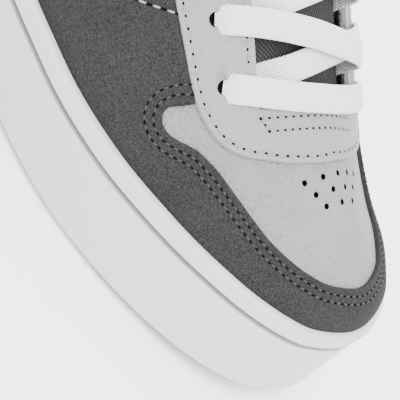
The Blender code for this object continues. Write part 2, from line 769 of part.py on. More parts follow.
def make_collar_lining():
    """The padded lining inside the collar, thickest near the top, from one side round the heel to the other."""
    lateral = ribs(UPPER_RIBS)[COLLAR_RIBS::-1]
    places = list(lateral) + [float(opposite(u)) for u in lateral[-2::-1]]
    rows = 6
    outer, inner = [], []
    for place in places:
        rise = 0.4
        for step in range(6):
            x = float(last_point(place, rise)[0])
            top = COLLAR_HEIGHT * float(through(along(x), COLLAR_LINE, 1)) - COLLAR_DROP
            rise = rise_at_height(place, top)
        low = rise_at_height(place, top - COLLAR_DEPTH)
        for j in range(rows):
            share = j / (rows - 1)
            height = low + (rise - low) * share
            pad = COLLAR_PAD * (0.25 + 0.75 * math.sin(math.pi * (0.08 + 0.80 * share)) ** 0.8)
            outer.append(shell_point(place, height, -UPPER_WALL - SEAT_GAP))
            inner.append(shell_point(place, height, -UPPER_WALL - SEAT_GAP - pad))
    faces = [tuple(reversed(face)) for face in lattice(len(places), rows)]
    return thickened("collar_lining", outer, inner, faces, LINING)


def make_tongue():
    """A padded strip that lies under the eyestay, from inside the vamp up past the top eyelets."""
    stations, rows = 14, 7
    outer, inner = [], []
    for i in range(stations):
        share = i / (stations - 1)
        x = TONGUE_FRONT + (TONGUE_BACK - TONGUE_FRONT) * share
        taper = (1 - 0.10 * share) * (1 - 0.12 * max(0.0, share - 0.85) / 0.15)
        for j in range(rows):
            side = -1 + 2 * j / (rows - 1)
            half = taper * (TONGUE_LATERAL if side < 0 else TONGUE_MEDIAL)
            pad = TONGUE_THICK * (1 - 0.45 * side**4)
            outer.append(draped(x, half * side, -UPPER_WALL - TONGUE_FIT))
            inner.append(draped(x, half * side, -UPPER_WALL - TONGUE_FIT - pad))
    faces = [tuple(reversed(face)) for face in lattice(stations, rows)]
    return thickened("tongue", outer, inner, faces, MESH)


def lace_strand(name, start, end, bow, lifts):
    """A flat strand that bows to the toe between two plan points, its underside at the given lifts."""
    stations = 11
    marks = np.linspace(0, 1, len(lifts))
    shares = np.linspace(0, 1, stations)
    line = np.array(start) + shares[:, None] * (np.array(end) - np.array(start))
    line[:, 0] += bow * (1 - (2 * shares - 1) ** 2)
    ahead = np.gradient(line, axis=0)
    ahead /= np.linalg.norm(ahead, axis=1)[:, None]
    points, faces = [], []
    for share, (x, y), (ax, ay) in zip(shares, line, ahead):
        lift = float(np.interp(share, marks, lifts))
        for way, up in ((1, 0), (-1, 0), (-1, 1), (1, 1)):
            out = way * LACE_WIDTH / 2
            points.append(draped(x - ay * out, y + ax * out, lift + up * LACE_THICK))
    for i in range(stations - 1):
        for j in range(4):
            a, b = i * 4 + j, i * 4 + (j + 1) % 4
            faces.append((a, a + 4, b + 4, b))
    faces.append(tuple(range(4)))
    faces.append(tuple((stations - 1) * 4 + j for j in reversed(range(4))))
    return solid(name, points, faces, COTTON)


def make_laces():
    """A bar over the first pair of eyelets, then a crossing between each pair and the next."""
    over = OVERLAY_GAP + OVERLAY + LACE_FIT
    under = over - LACE_THICK * CROSS_BITE
    low_lifts = (over, over, under, under - LACE_FIT, -LACE_DIVE)
    top_lifts = (over, over, over, over - LACE_FIT, -LACE_DIVE)
    lateral, medial = eyelet_places(-1), eyelet_places(1)
    lace_strand("lace_bar", lateral[0], medial[0], BAR_BOW, (over, over))
    for k in range(EYELET_PAIRS - 1):
        behind_medial = ((medial[k][0] + medial[k + 1][0]) / 2, THROAT_MEDIAL - CROSS_END)
        behind_lateral = ((lateral[k][0] + lateral[k + 1][0]) / 2, CROSS_END - THROAT_LATERAL)
        top = lace_strand("lace_cross_%d" % (k + 1), lateral[k + 1], behind_medial, CROSS_BOW, top_lifts)
        low = lace_strand("strand", medial[k + 1], behind_lateral, CROSS_BOW, low_lifts)
        join(top, low)


make_cupsole()
make_insole()
make_upper()
make_mudguard()
side_panel("heel_counter", COUNTER, 11, 4, SUEDE, False)
make_eyestay()
make_collar_lining()
make_tongue()
make_laces()
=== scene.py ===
import math

import bpy
import bmesh
import numpy as np
from mathutils import Matrix, Vector


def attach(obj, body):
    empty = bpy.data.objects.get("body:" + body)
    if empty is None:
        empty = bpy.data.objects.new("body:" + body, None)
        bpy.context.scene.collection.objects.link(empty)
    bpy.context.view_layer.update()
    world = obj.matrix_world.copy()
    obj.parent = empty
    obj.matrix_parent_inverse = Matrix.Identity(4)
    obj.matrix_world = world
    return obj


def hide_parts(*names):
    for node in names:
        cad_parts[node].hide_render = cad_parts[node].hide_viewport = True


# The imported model: one body, root, with a node for each piece. Lengths are in metres. The last is worked
# out about the foot's own middle line, then moved so that the origin lies under the middle of the outline.
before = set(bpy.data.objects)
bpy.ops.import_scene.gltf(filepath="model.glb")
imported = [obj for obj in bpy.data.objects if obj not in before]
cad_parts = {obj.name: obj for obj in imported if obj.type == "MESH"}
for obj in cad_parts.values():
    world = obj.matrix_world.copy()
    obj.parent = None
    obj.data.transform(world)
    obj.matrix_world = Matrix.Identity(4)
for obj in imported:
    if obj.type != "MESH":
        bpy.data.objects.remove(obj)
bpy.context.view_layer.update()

# Cupsole. One moulded rubber cup, near white: a tall, slightly flared side wall with fine slanting ribs, a
# narrow groove that mimics a taped edge, a smooth band over it and a rounded lip that the upper sits behind.
HEEL_BACK = -0.150
SOLE_LENGTH = 0.3012
BALL_WIDTH = 0.108
WALL_HEIGHT = 0.0307
HEEL_LIFT = 0.004
TOE_SPRING = 0.0052
SPRING_LENGTH = 0.070
ARCH_LIFT = 0.0014
ARCH_MIDDLE = 0.46
ARCH_REACH = 0.14
GROOVE_HEIGHT = 0.0247
GROOVE_WIDTH = 0.0015
GROOVE_DEPTH = 0.0014
BAND_PROUD = 0.0001
BAND_EDGE = 0.0003
EDGE_RADIUS = 0.0022
LIP_WIDTH = 0.0042
LIP_ROUND = 0.0016
FLOOR_HEIGHT = 0.0150
TREAD_DEPTH = 0.0025
TREAD_GROOVE = 0.0040
TREAD_MARGIN = 0.0085
RIB_PITCH = 0.00077
RIB_LEAN = math.radians(27)
RIB_DEPTH = 0.00007
RIBS_START = 0.0025
RIBS_FULL = 0.0045
RIBS_FADE_FROM = 0.060
RIBS_FADE_TO = 0.140
RUBBER_WHITE = (0.49, 0.49, 0.487)
# The grey below is painted shade, laid into the groove where shade falls.
GROOVE_PAINTED_SHADE = (0.22, 0.22, 0.22)
SEAT_GAP = 0.0003

PLAN = (
    # along, lateral, medial, flare of the bottom edge
    (0.017, 0.139, 0.139, 0.000),
    (0.050, 0.241, 0.236, 0.000),
    (0.100, 0.315, 0.306, -0.010),
    (0.166, 0.352, 0.338, -0.020),
    (0.249, 0.356, 0.343, -0.040),
    (0.349, 0.343, 0.336, -0.080),
    (0.432, 0.366, 0.350, -0.091),
    (0.498, 0.426, 0.373, -0.091),
    (0.564, 0.471, 0.403, -0.085),
    (0.631, 0.497, 0.431, -0.070),
    (0.697, 0.509, 0.452, -0.042),
    (0.764, 0.484, 0.465, 0.010),
    (0.830, 0.424, 0.447, 0.058),
    (0.863, 0.387, 0.431, 0.072),
    (0.896, 0.343, 0.404, 0.080),
    (0.930, 0.291, 0.352, 0.078),
    (0.963, 0.221, 0.257, 0.072),
    (0.983, 0.155, 0.181, 0.065),
)
HEEL_TIP = (0.0, 0.0, 0.0)
TOE_TIP = (1.0, 0.012, 0.062)


def through(x, table, column):
    """A smooth line through one column of a table whose first column is the place along."""
    xs = np.array([row[0] for row in table])
    ys = np.array([row[column] for row in table])
    slope = np.gradient(ys, xs)
    x = np.clip(x, xs[0], xs[-1])
    i = np.clip(np.searchsorted(xs, x, side="right") - 1, 0, len(xs) - 2)
    span = xs[i + 1] - xs[i]
    s = (x - xs[i]) / span
    start = (2 * s**3 - 3 * s**2 + 1) * ys[i] + (s**3 - 2 * s**2 + s) * span * slope[i]
    return start + (3 * s**2 - 2 * s**3) * ys[i + 1] + (s**3 - s**2) * span * slope[i + 1]


def rounded(points, per_span, closed=False):
    """A smooth curve through the points, with no overshoot at uneven spacing."""
    points = [np.array(p, float) for p in points]
    if not closed:
        points = [2 * points[0] - points[1]] + points + [2 * points[-1] - points[-2]]
    count = len(points)
    curve = []
    for k in range(count) if closed else range(1, count - 2):
        a, b, c, d = (points[(k + j) % count] for j in (-1, 0, 1, 2))
        ab, bc, cd = (max(np.linalg.norm(q[:2] - p[:2]), 1e-9) ** 0.5 for p, q in ((a, b), (b, c), (c, d)))
        leave = (c - b) + bc * ((b - a) / ab - (c - a) / (ab + bc))
        arrive = (c - b) + bc * ((d - c) / cd - (d - b) / (bc + cd))
        for j in range(per_span):
            s = j / per_span
            point = (2 * s**3 - 3 * s**2 + 1) * b + (s**3 - 2 * s**2 + s) * leave
            curve.append(point + (3 * s**2 - 2 * s**3) * c + (s**3 - s**2) * arrive)
    if not closed:
        curve.append(points[-2])
    return np.array(curve)


def sole_plan():
    """The groove line round the sole from the heel, lateral side first: x, y, outward normal and flare."""
    rows = [HEEL_TIP] + [(a, -lateral, flare) for a, lateral, medial, flare in PLAN] + [TOE_TIP]
    rows += [(a, medial, flare) for a, lateral, medial, flare in reversed(PLAN)]
    size = np.array([SOLE_LENGTH, BALL_WIDTH, WALL_HEIGHT])
    ring = rounded([np.array(row) * size for row in rows], 24, True)
    ring[:, 0] += HEEL_BACK
    along_it = np.roll(ring[:, :2], -1, axis=0) - np.roll(ring[:, :2], 1, axis=0)
    along_it /= np.linalg.norm(along_it, axis=1)[:, None]
    outward = np.stack([along_it[:, 1], -along_it[:, 0]], axis=1)
    return np.column_stack([ring[:, :2], outward, ring[:, 2]])


RING = sole_plan()
WIDEST = RING[:, :2] + RING[:, 2:4] * np.maximum(RING[:, 4:5], 0)
CENTRE = np.append((WIDEST.min(axis=0) + WIDEST.max(axis=0)) / 2, 0.0)
STEPS = np.linalg.norm(np.diff(np.vstack([RING, RING[:1]])[:, :2], axis=0), axis=1)
GIRTH = STEPS.sum()
AROUND = np.concatenate([[0.0], np.cumsum(STEPS)]) / GIRTH
HEEL_X = RING[:, 0].min()
TOE_X = RING[:, 0].max()


def plan_at(around):
    columns = [np.interp(np.mod(around, 1.0), AROUND, np.append(c, c[0])) for c in RING.T]
    return np.stack(columns, axis=-1)


def along(x):
    return (x - HEEL_X) / (TOE_X - HEEL_X)


def toe_lift(x):
    return TOE_SPRING * np.clip((x - (TOE_X - SPRING_LENGTH)) / SPRING_LENGTH, 0, None) ** 2


def lip_height(x):
    return WALL_HEIGHT + toe_lift(x) + HEEL_LIFT * np.clip(1 - along(x) / 0.5, 0, 1) ** 1.5


def bottom_height(x):
    arch = np.clip(1 - np.abs(along(x) - ARCH_MIDDLE) / ARCH_REACH, 0, 1)
    return toe_lift(x) + ARCH_LIFT * arch * arch * (3 - 2 * arch)


def piece(name, points, faces, materials, slot, nodes=(), chart=None, kinds=None, sharp=40):
    """A mesh piece on the shoe's one body, in the foot's frame, with an optional chart and face materials."""
    mesh = bpy.data.meshes.new(name)
    mesh.from_pydata((np.asarray(points) - CENTRE).tolist(), [], [tuple(map(int, face)) for face in faces])
    for material in materials:
        mesh.materials.append(material)
    if kinds is not None:
        mesh.polygons.foreach_set("material_index", np.asarray(kinds, dtype=np.int32))
    if chart is not None:
        layer = mesh.uv_layers.new(name="chart")
        corner = np.empty(len(mesh.loops), dtype=np.int32)
        mesh.loops.foreach_get("vertex_index", corner)
        layer.data.foreach_set("uv", np.asarray(chart, dtype=np.float32)[corner].ravel())
    shape = bmesh.new()
    shape.from_mesh(mesh)
    bmesh.ops.recalc_face_normals(shape, faces=shape.faces)
    shape.to_mesh(mesh)
    shape.free()
    mesh.shade_smooth()
    mesh.set_sharp_from_angle(angle=math.radians(sharp))
    thing = bpy.data.objects.new(name, mesh)
    bpy.context.scene.collection.objects.link(thing)
    if slot:
        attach(thing, "root")
        if nodes:
            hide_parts(*nodes)
    return thing


class Shader:
    """A short way to write node materials: each call adds one node and returns its main output."""

    def __init__(self, name, colour, roughness, specular=0.5):
        self.material = bpy.data.materials.new(name)
        self.material.use_nodes = True
        self.tree = self.material.node_tree
        self.surface = self.tree.nodes["Principled BSDF"]
        self.surface.inputs["Base Color"].default_value = (*colour, 1.0)
        self.surface.inputs["Roughness"].default_value = roughness
        self.surface.inputs["Specular IOR Level"].default_value = specular

    def put(self, socket, value):
        if isinstance(value, bpy.types.NodeSocket):
            self.tree.links.new(value, socket)
        else:
            socket.default_value = value

    def node(self, kind, output=0, settings=(), **sockets):
        made = self.tree.nodes.new(kind)
        for key, value in dict(settings).items():
            setattr(made, key, value)
        for key, value in sockets.items():
            named = key.replace("_", " ")
            socket = made.inputs[int(key[1:])] if key[1:].isdigit() else made.inputs[named]
            self.put(socket, value)
        return made.outputs[output]

    def math(self, operation, a, b=0.0, c=0.0):
        return self.node("ShaderNodeMath", settings={"operation": operation}, i0=a, i1=b, i2=c)

    def place(self):
        return self.node("ShaderNodeTexCoord", output=3)

    def chart(self):
        source = self.node("ShaderNodeUVMap", settings={"uv_map": "chart"})
        return self.node("ShaderNodeSeparateXYZ", i0=source)

    def noise(self, where, scale, detail=3.0, rough=0.5):
        return self.node("ShaderNodeTexNoise", Vector=where, Scale=scale, Detail=detail, Roughness=rough)

    def ramp(self, value, low, high, start=0.0, end=1.0):
        return self.node("ShaderNodeMapRange", i0=value, i1=low, i2=high, i3=start, i4=end)

    def blend(self, share, first, second):
        made = self.tree.nodes.new("ShaderNodeMix")
        made.data_type = "RGBA"
        self.put(made.inputs[0], share)
        self.put(made.inputs[6], (*first, 1.0) if isinstance(first, tuple) else first)
        self.put(made.inputs[7], (*second, 1.0) if isinstance(second, tuple) else second)
        return made.outputs[2]

    def bump(self, height, distance, strength=1.0, under=None):
        made = self.tree.nodes.new("ShaderNodeBump")
        made.inputs["Strength"].default_value = strength
        made.inputs["Distance"].default_value = distance
        self.tree.links.new(height, made.inputs["Height"])
        if under is not None:
            self.tree.links.new(under, made.inputs["Normal"])
        self.tree.links.new(made.outputs[0], self.surface.inputs["Normal"])
        return made.outputs[0]

    def colour(self, value):
        self.put(self.surface.inputs["Base Color"], value)

    def rough(self, value):
        self.put(self.surface.inputs["Roughness"], value)


def rubber_material():
    """White moulded rubber: fine slanting ribs on the wall that fade towards the toe, and painted shade that
    darkens the groove.
    """
    look = Shader("cup_rubber", (0.49, 0.49, 0.49), 0.46, 0.35)
    chart = look.chart()
    run, height = chart, chart.node.outputs[1]
    across = look.math("ADD", look.math("MULTIPLY", run, math.cos(RIB_LEAN)),
                       look.math("MULTIPLY", height, -math.sin(RIB_LEAN)))
    wave = look.math("SINE", look.math("MULTIPLY", across, 2 * math.pi / RIB_PITCH))
    low = look.ramp(height, RIBS_START, RIBS_FULL)
    high = look.ramp(height, GROOVE_HEIGHT - 0.0020, GROOVE_HEIGHT - 0.0030)
    toe = look.node("ShaderNodeSeparateXYZ", i0=look.place())
    fade = look.ramp(toe, RIBS_FADE_TO, RIBS_FADE_FROM, 0.15, 1.0)
    mask = look.math("MULTIPLY", look.math("MULTIPLY", low, high), fade)
    ribs = look.math("MULTIPLY", look.math("MULTIPLY_ADD", wave, 0.5, 0.5), mask)
    grain = look.noise(look.place(), 2600.0, 2.0)
    first = look.bump(grain, 0.00003, 0.35)
    look.bump(ribs, RIB_DEPTH, 0.8, first)
    cloud = look.noise(look.place(), 30.0, 3.0)
    # Painted shade: the colour turns grey inside the groove, where shade falls; the cloud adds a faint random
    # change of tone.
    depth = look.math("ABSOLUTE", look.math("SUBTRACT", height, GROOVE_HEIGHT))
    inside = look.ramp(depth, GROOVE_WIDTH * 0.65, GROOVE_WIDTH * 0.35)
    groove_shade_and_mottle = look.math("ADD", inside, look.ramp(cloud, 0.3, 0.7, 0.0, 0.03))
    look.colour(look.blend(groove_shade_and_mottle, RUBBER_WHITE, GROOVE_PAINTED_SHADE))
    look.rough(look.ramp(cloud, 0.3, 0.7, 0.42, 0.52))
    return look.material


RUBBER = rubber_material()


def opposite_ribs(count):
    """Places round the last in pairs that meet on the centre line, heel to toe and back to the heel."""
    lateral = TOE_AROUND * np.linspace(0, 1, count + 1)
    return np.concatenate([lateral, opposite(lateral[1:-1])[::-1]])


def foot_and_spine(around):
    """A rib of the last in plan: its foot inside the sole's lip, and its end on the centre line."""
    ring = plan_at(around)
    normal = ring[..., 2:4] / np.linalg.norm(ring[..., 2:4], axis=-1)[..., None]
    foot = ring[..., :2] - normal * LIP_WIDTH
    x = foot[..., 0]
    from_toe = (TOE_X - LIP_WIDTH) - np.hypot(np.clip(TOE_X - LIP_WIDTH - x, 0, None), TOE_FAN)
    from_heel = (HEEL_X + LIP_WIDTH) + np.hypot(np.clip(x - HEEL_X - LIP_WIDTH, 0, None), HEEL_FAN)
    share = np.clip((along(x) - FAN_CHANGE) / FAN_BLEND, 0, 1)
    share = share * share * (3 - 2 * share)
    spine = np.stack([from_toe * share + from_heel * (1 - share), np.zeros_like(x)], axis=-1)
    return foot, spine


TOE_FAN = 0.040
HEEL_FAN = 0.030
FAN_CHANGE = 0.35
FAN_BLEND = 0.3
TOE_SEARCH = np.linspace(0.45, 0.55, 200)
TOE_AROUND = float(np.interp(0.0, foot_and_spine(TOE_SEARCH)[0][:, 1], TOE_SEARCH))
DENSE = {
    -1: np.linspace(0.0, TOE_AROUND, 900),
    1: np.linspace(1.0, TOE_AROUND, 900),
}
SPINES = {side: foot_and_spine(values) for side, values in DENSE.items()}


def opposite(around):
    """The rib of the medial side that meets a lateral rib on the centre line."""
    return np.interp(foot_and_spine(around)[1][..., 0], SPINES[1][1][:, 0], DENSE[1])


def lattice(columns, rows, closed=False):
    """Faces of a grid of points kept column by column."""
    faces = []
    for i in range(columns if closed else columns - 1):
        k = (i + 1) % columns
        for j in range(rows - 1):
            faces.append((i * rows + j, k * rows + j, k * rows + j + 1, i * rows + j + 1))
    return faces


def cut(thing, cutter):
    """Takes a cutter's shape out of a piece for good, and drops the cutter."""
    modifier = thing.modifiers.new("cut", "BOOLEAN")
    modifier.operation = "DIFFERENCE"
    modifier.solver = "EXACT"
    modifier.material_mode = "TRANSFER"
    modifier.object = cutter
    bpy.context.view_layer.update()
    made = bpy.data.meshes.new_from_object(thing.evaluated_get(bpy.context.evaluated_depsgraph_get()))
    made.name = thing.data.name
    thing.modifiers.clear()
    thing.data = made
    bpy.data.objects.remove(cutter, do_unlink=True)


def make_cupsole():
    places = opposite_ribs(150)
    plan = plan_at(places)
    normal = plan[:, 2:4] / np.linalg.norm(plan[:, 2:4], axis=1)[:, None]
    base, flare = plan[:, :2], plan[:, 4]
    half = GROOVE_WIDTH / 2
    level_out = np.zeros(flare.shape)
    levels = []
    for turn in np.linspace(0, math.pi / 2, 5):
        levels.append((flare - EDGE_RADIUS * (1 - math.sin(turn)),
                       lambda x, c=math.cos(turn), s=math.sin(turn):
                       bottom_height(x) * c + (toe_lift(x) + EDGE_RADIUS) * s))
    for share in (0.25, 0.5, 0.75, 1.0):
        up = EDGE_RADIUS + (GROOVE_HEIGHT - half - EDGE_RADIUS) * share
        levels.append((flare * (1 - share), lambda x, u=up: toe_lift(x) + u))
    for turn in np.linspace(0.15, math.pi - 0.15, 6):
        depth, rise = GROOVE_DEPTH * math.sin(turn), -half * math.cos(turn)
        levels.append((level_out - depth, lambda x, r=rise: toe_lift(x) + GROOVE_HEIGHT + r))
    levels.append((level_out + BAND_PROUD, lambda x: toe_lift(x) + GROOVE_HEIGHT + half + BAND_EDGE))
    for turn in np.linspace(0, math.pi / 2, 6):
        levels.append((level_out - LIP_ROUND * (1 - math.cos(turn)),
                       lambda x, s=math.sin(turn): lip_height(x) - LIP_ROUND * (1 - s)))
    levels.append((level_out - LIP_WIDTH + SEAT_GAP, lip_height))
    levels.append((level_out - LIP_WIDTH + SEAT_GAP, lambda x: np.full(x.shape, FLOOR_HEIGHT)))
    points, chart = [], []
    for out, height in levels:
        ring = base + normal * out[:, None]
        z = height(ring[:, 0])
        points.append(np.column_stack([ring, z]))
        chart.append(np.column_stack([places * GIRTH, z - toe_lift(ring[:, 0])]))
    points, chart = np.vstack(points), np.vstack(chart)
    count = len(places)
    faces = []
    for r in range(len(levels) - 1):
        for i in range(count):
            k = (i + 1) % count
            faces.append((r * count + i, r * count + k, (r + 1) * count + k, (r + 1) * count + i))
    for start, upward in ((0, False), ((len(levels) - 1) * count, True)):
        for i in range(count // 2):
            across = [start + i, start + i + 1, start + count - i - 1, start + (count - i) % count]
            loop = [v for n, v in enumerate(across) if v != across[n - 1]]
            faces.append(tuple(loop if upward else reversed(loop)))
    sole = piece("cupsole_moulding", points, faces, [RUBBER], "white_rubber", ["cupsole"], chart)
    cut(sole, tread_cutter())
    return sole


TREAD = (
    # start, end, number, bow
    (0.60, 0.93, 7, 0.012),
    (0.06, 0.27, 4, -0.008),
)


def tread_cutter():
    """Bowed bars that cut the flex grooves across forefoot and heel."""
    points, faces = [], []
    for start, end, number, bow in TREAD:
        for share in np.linspace(start, end, number):
            x = HEEL_X + share * (TOE_X - HEEL_X)
            first = len(points)
            across = np.linspace(-1, 1, 13)
            lateral = BALL_WIDTH * float(through(share, PLAN, 1)) - TREAD_MARGIN
            medial = BALL_WIDTH * float(through(share, PLAN, 2)) - TREAD_MARGIN
            for s in across:
                middle = x - bow * s * s
                top = bottom_height(middle) + TREAD_DEPTH
                for dx, z in ((-0.5, top), (0.5, top), (0.5, -TREAD_DEPTH), (-0.5, -TREAD_DEPTH)):
                    points.append((middle + dx * TREAD_GROOVE, s * (lateral if s < 0 else medial), z))
            for i in range(len(across) - 1):
                for j in range(4):
                    a, b = first + i * 4 + j, first + i * 4 + (j + 1) % 4
                    faces.append((a, a + 4, b + 4, b))
            last = first + (len(across) - 1) * 4
            faces.append(tuple(first + j for j in range(4)))
            faces.append(tuple(last + j for j in reversed(range(4))))
    return piece("tread_cutter", points, faces, [RUBBER], None)


make_cupsole()

# Insole. A loose sheet of cloth-covered foam, cut to the inside of the upper and dished at the heel. It lies
# on the floor of the cup and isn't stuck down.
UPPER_WALL = 0.0020
INSOLE_THICK = 0.0042
INSOLE_DISH = 0.003
INSOLE_ROUND = 0.0012
INSOLE_WEAVE = 0.0011


def meeting(columns, rows, *skins):
    """A closed grid whose ribs of both sides share their last points on the centre line."""
    index = list(range(columns * rows))
    for i in range(columns // 2 + 1, columns):
        index[i * rows + rows - 1] = (columns - i) * rows + rows - 1
    kept = sorted(set(index))
    place = {v: n for n, v in enumerate(kept)}
    faces = [tuple(place[index[v]] for v in face) for face in lattice(columns, rows, True)]
    return faces, [np.asarray(skin).reshape(columns * rows, -1)[kept] for skin in skins]


def two_skins(outer, inner, faces):
    """Points and faces of one closed body: faces outside, their reverse inside, and a rim between."""
    count = len(outer)
    edges = set()
    for face in faces:
        edges.update(zip(face, face[1:] + face[:1]))
    rim = [(b, a, a + count, b + count) for a, b in edges if (b, a) not in edges]
    rim.sort()
    under = [tuple(v + count for v in reversed(face)) for face in faces]
    return np.vstack([outer, inner]), list(faces) + under + rim, len(faces)


def insole_material():
    look = Shader("insole_cloth", (0.30, 0.30, 0.31), 0.9, 0.2)
    place = look.node("ShaderNodeSeparateXYZ", i0=look.place())
    u = look.math("SINE", look.math("MULTIPLY", place, 2 * math.pi / INSOLE_WEAVE))
    v = look.math("SINE", look.math("MULTIPLY", place.node.outputs[1], 2 * math.pi / INSOLE_WEAVE))
    look.bump(look.math("MULTIPLY", u, v), 0.00015, 0.8)
    look.colour(look.blend(look.noise(look.place(), 300.0), (0.24, 0.24, 0.25), (0.36, 0.36, 0.37)))
    return look.material


def make_insole():
    places = opposite_ribs(70)
    foot, spine = foot_and_spine(places)
    inward = (foot - spine) / np.linalg.norm(foot - spine, axis=1)[:, None]
    edge = foot - inward * (UPPER_WALL + 2 * SEAT_GAP)
    rows = 9
    share = np.linspace(1, 0, rows) ** 0.7
    x = spine[:, :1] + (edge[:, :1] - spine[:, :1]) * share
    y = edge[:, 1:] * share
    dish = INSOLE_DISH * share**4 * np.clip(1 - along(x) / 0.6, 0, 1)
    edge_drop = INSOLE_ROUND * np.clip((share - 0.93) / 0.07, 0, 1) ** 2
    outer = np.stack([x, y, FLOOR_HEIGHT + SEAT_GAP + INSOLE_THICK + dish - edge_drop], axis=-1)
    inner = np.stack([x, y, np.full(x.shape, FLOOR_HEIGHT + SEAT_GAP)], axis=-1)
    faces, (outer, inner) = meeting(len(places), rows, outer, inner)
    points, faces, _ = two_skins(outer, inner, faces)
    piece("insole_sheet", points, faces, [insole_material()], "insole_fabric", ["insole"])


make_insole()

# Upper. Vamp and quarters of light grey grained leather, 2 mm thick, pulled over the last into one hollow
# form behind the lip. Throat and collar are cut out, and the lace holes and rows of toe holes are punched.
INSTEP_HEIGHT = 0.088
SIDE_BULGE = 0.0012
BULGE_TOP = 0.6
THROAT_LATERAL = 0.0220
THROAT_MEDIAL = 0.0250
THROAT_FRONT = 0.0890
THROAT_BOW = 0.0016
THROAT_SKEW = 0.159
THROAT_BACK = -0.034
COLLAR_HEIGHT = 0.104
PUNCH_DEPTH = 0.006
PUNCH_TOP = 0.006
TOE_PUNCH_DEPTH = 0.004
TOE_ROW_LEAN = 0.05
EYELET_PAIRS = 6
EYELET_PITCH = 0.0182
EYELET_SETBACK = 0.0080
FRONT_EYELETS = 0.0818
EYELET_RADIUS = 0.0022
HOLE_RADIUS = 0.00085
GRAIN_SIZE = 0.0011

SECTIONS = (
    # along, crown, fullness, lateral fall, medial fall
    (0.00, 1.000, 3.0, 0.00, 0.00),
    (0.10, 1.000, 3.0, 0.00, 0.00),
    (0.25, 1.000, 2.8, 0.05, 0.05),
    (0.40, 0.950, 2.5, 0.20, 0.15),
    (0.50, 0.860, 2.4, 0.45, 0.20),
    (0.60, 0.740, 2.4, 0.60, 0.20),
    (0.70, 0.555, 2.4, 0.60, 0.20),
    (0.76, 0.425, 2.3, 0.60, 0.32),
    (0.81, 0.335, 2.2, 0.65, 0.55),
    (0.865, 0.264, 2.0, 1.00, 1.00),
    (0.885, 0.239, 1.9, 1.15, 1.15),
    (0.925, 0.208, 1.8, 1.25, 1.25),
    (0.955, 0.186, 1.8, 1.25, 1.25),
    (1.00, 0.160, 1.8, 1.25, 1.25),
)
COLLAR_LINE = (
    # along, height
    (0.000, 1.010),
    (0.035, 1.000),
    (0.080, 0.955),
    (0.130, 0.890),
    (0.200, 0.825),
    (0.270, 0.795),
    (0.320, 0.812),
    (0.365, 0.865),
    (0.400, 0.945),
    (0.425, 1.040),
)
TOE_HOLES = (
    # x, first y, pitch, number
    (0.1078, -0.0115, 0.0064, 5),
    (0.1118, -0.0087, 0.0064, 4),
    (0.1157, -0.0060, 0.0068, 3),
)


def side_bulge(rise, length):
    """How far the lower part of a rib swells out, as a share of the rib's reach in plan."""
    return SIDE_BULGE / length * np.sin(np.clip(rise, 0, BULGE_TOP) / BULGE_TOP * math.pi)


def last_point(around, rise):
    """A point of the last: rise is 0 at the lip, 1 on the centre line, and below 0 inside the cup."""
    foot, spine = foot_and_spine(around)
    fullness = through(along(foot[..., 0]), SECTIONS, 2)
    angle = np.clip(rise, 0, 1) * math.pi / 2
    reach = foot - spine
    length = np.linalg.norm(reach, axis=-1)
    out = np.cos(angle) ** (2 / fullness) + side_bulge(rise, length)
    plan = spine + reach * out[..., None]
    x, y = plan[..., 0], plan[..., 1]
    crown = INSTEP_HEIGHT * through(along(x), SECTIONS, 1)
    fall = np.where(y < 0, through(along(x), SECTIONS, 3), through(along(x), SECTIONS, 4))
    climb = np.sin(angle) ** (2 / fullness)
    z = lip_height(x) + crown * climb * (1 - fall * (y / (BALL_WIDTH / 2)) ** 2)
    depth = lip_height(x) - FLOOR_HEIGHT - SEAT_GAP
    return np.stack([x, y, z + np.clip(rise, -1, 0) * depth], axis=-1)


def normal_at(around, rise):
    inside = np.clip(rise, -1, 0.985)
    du = last_point(around + 0.002, inside) - last_point(around - 0.002, inside)
    dv = last_point(around, inside + 0.01) - last_point(around, inside - 0.01)
    normal = np.cross(du, dv)
    normal /= np.linalg.norm(normal, axis=-1)[..., None]
    crest = np.clip((rise - 0.9) / 0.1, 0, 1)[..., None]
    normal = normal * (1 - crest) + normal * np.array([1.0, 0.0, 1.0]) * crest
    return normal / np.linalg.norm(normal, axis=-1)[..., None]


def shell_point(around, rise, lift):
    """A point that stands off the last by lift, along its normal."""
    around, rise, lift = np.broadcast_arrays(*(np.asarray(v, float) for v in (around, rise, lift)))
    return last_point(around, rise) + normal_at(around, rise) * lift[..., None]


def rib_at(x, y):
    """The ribs and rises of the last under plan points."""
    x, y = np.broadcast_arrays(np.asarray(x, float), np.asarray(y, float))
    across, off = x.ravel(), y.ravel()
    around = np.zeros(across.shape)
    for side, here in ((-1, off < 0), (1, off >= 0)):
        foot, spine = SPINES[side]
        reach = foot - spine
        turn = ((across[here, None] - spine[:, 0]) * reach[:, 1] - off[here, None] * reach[:, 0]) * side
        k = np.clip(turn.shape[1] - np.argmax(turn[:, ::-1] > 0, axis=1), 1, turn.shape[1] - 1)
        row = np.arange(len(k))
        share = turn[row, k - 1] / (turn[row, k - 1] - turn[row, k])
        around[here] = DENSE[side][k - 1] + share * (DENSE[side][k] - DENSE[side][k - 1])
    foot, spine = foot_and_spine(around)
    length = np.linalg.norm(foot - spine, axis=-1)
    fullness = through(along(foot[:, 0]), SECTIONS, 2)
    out = np.minimum(np.hypot(across - spine[:, 0], off - spine[:, 1]) / length, 1.0)
    rise = np.full(across.shape, 0.5)
    for step in range(8):
        rise = np.arccos(np.clip(out - side_bulge(rise, length), 0, 1) ** (fullness / 2)) / (math.pi / 2)
    return around.reshape(x.shape), rise.reshape(x.shape)


def draped(x, y, lift):
    """Points laid over the last at plan points, standing off it by lift."""
    around, rise = rib_at(x, y)
    return shell_point(around, rise, lift)


def throat_half(side):
    return THROAT_LATERAL if side < 0 else THROAT_MEDIAL


def throat_front(y):
    return THROAT_FRONT + THROAT_BOW * (1 - (y / THROAT_LATERAL) ** 2) + THROAT_SKEW * y


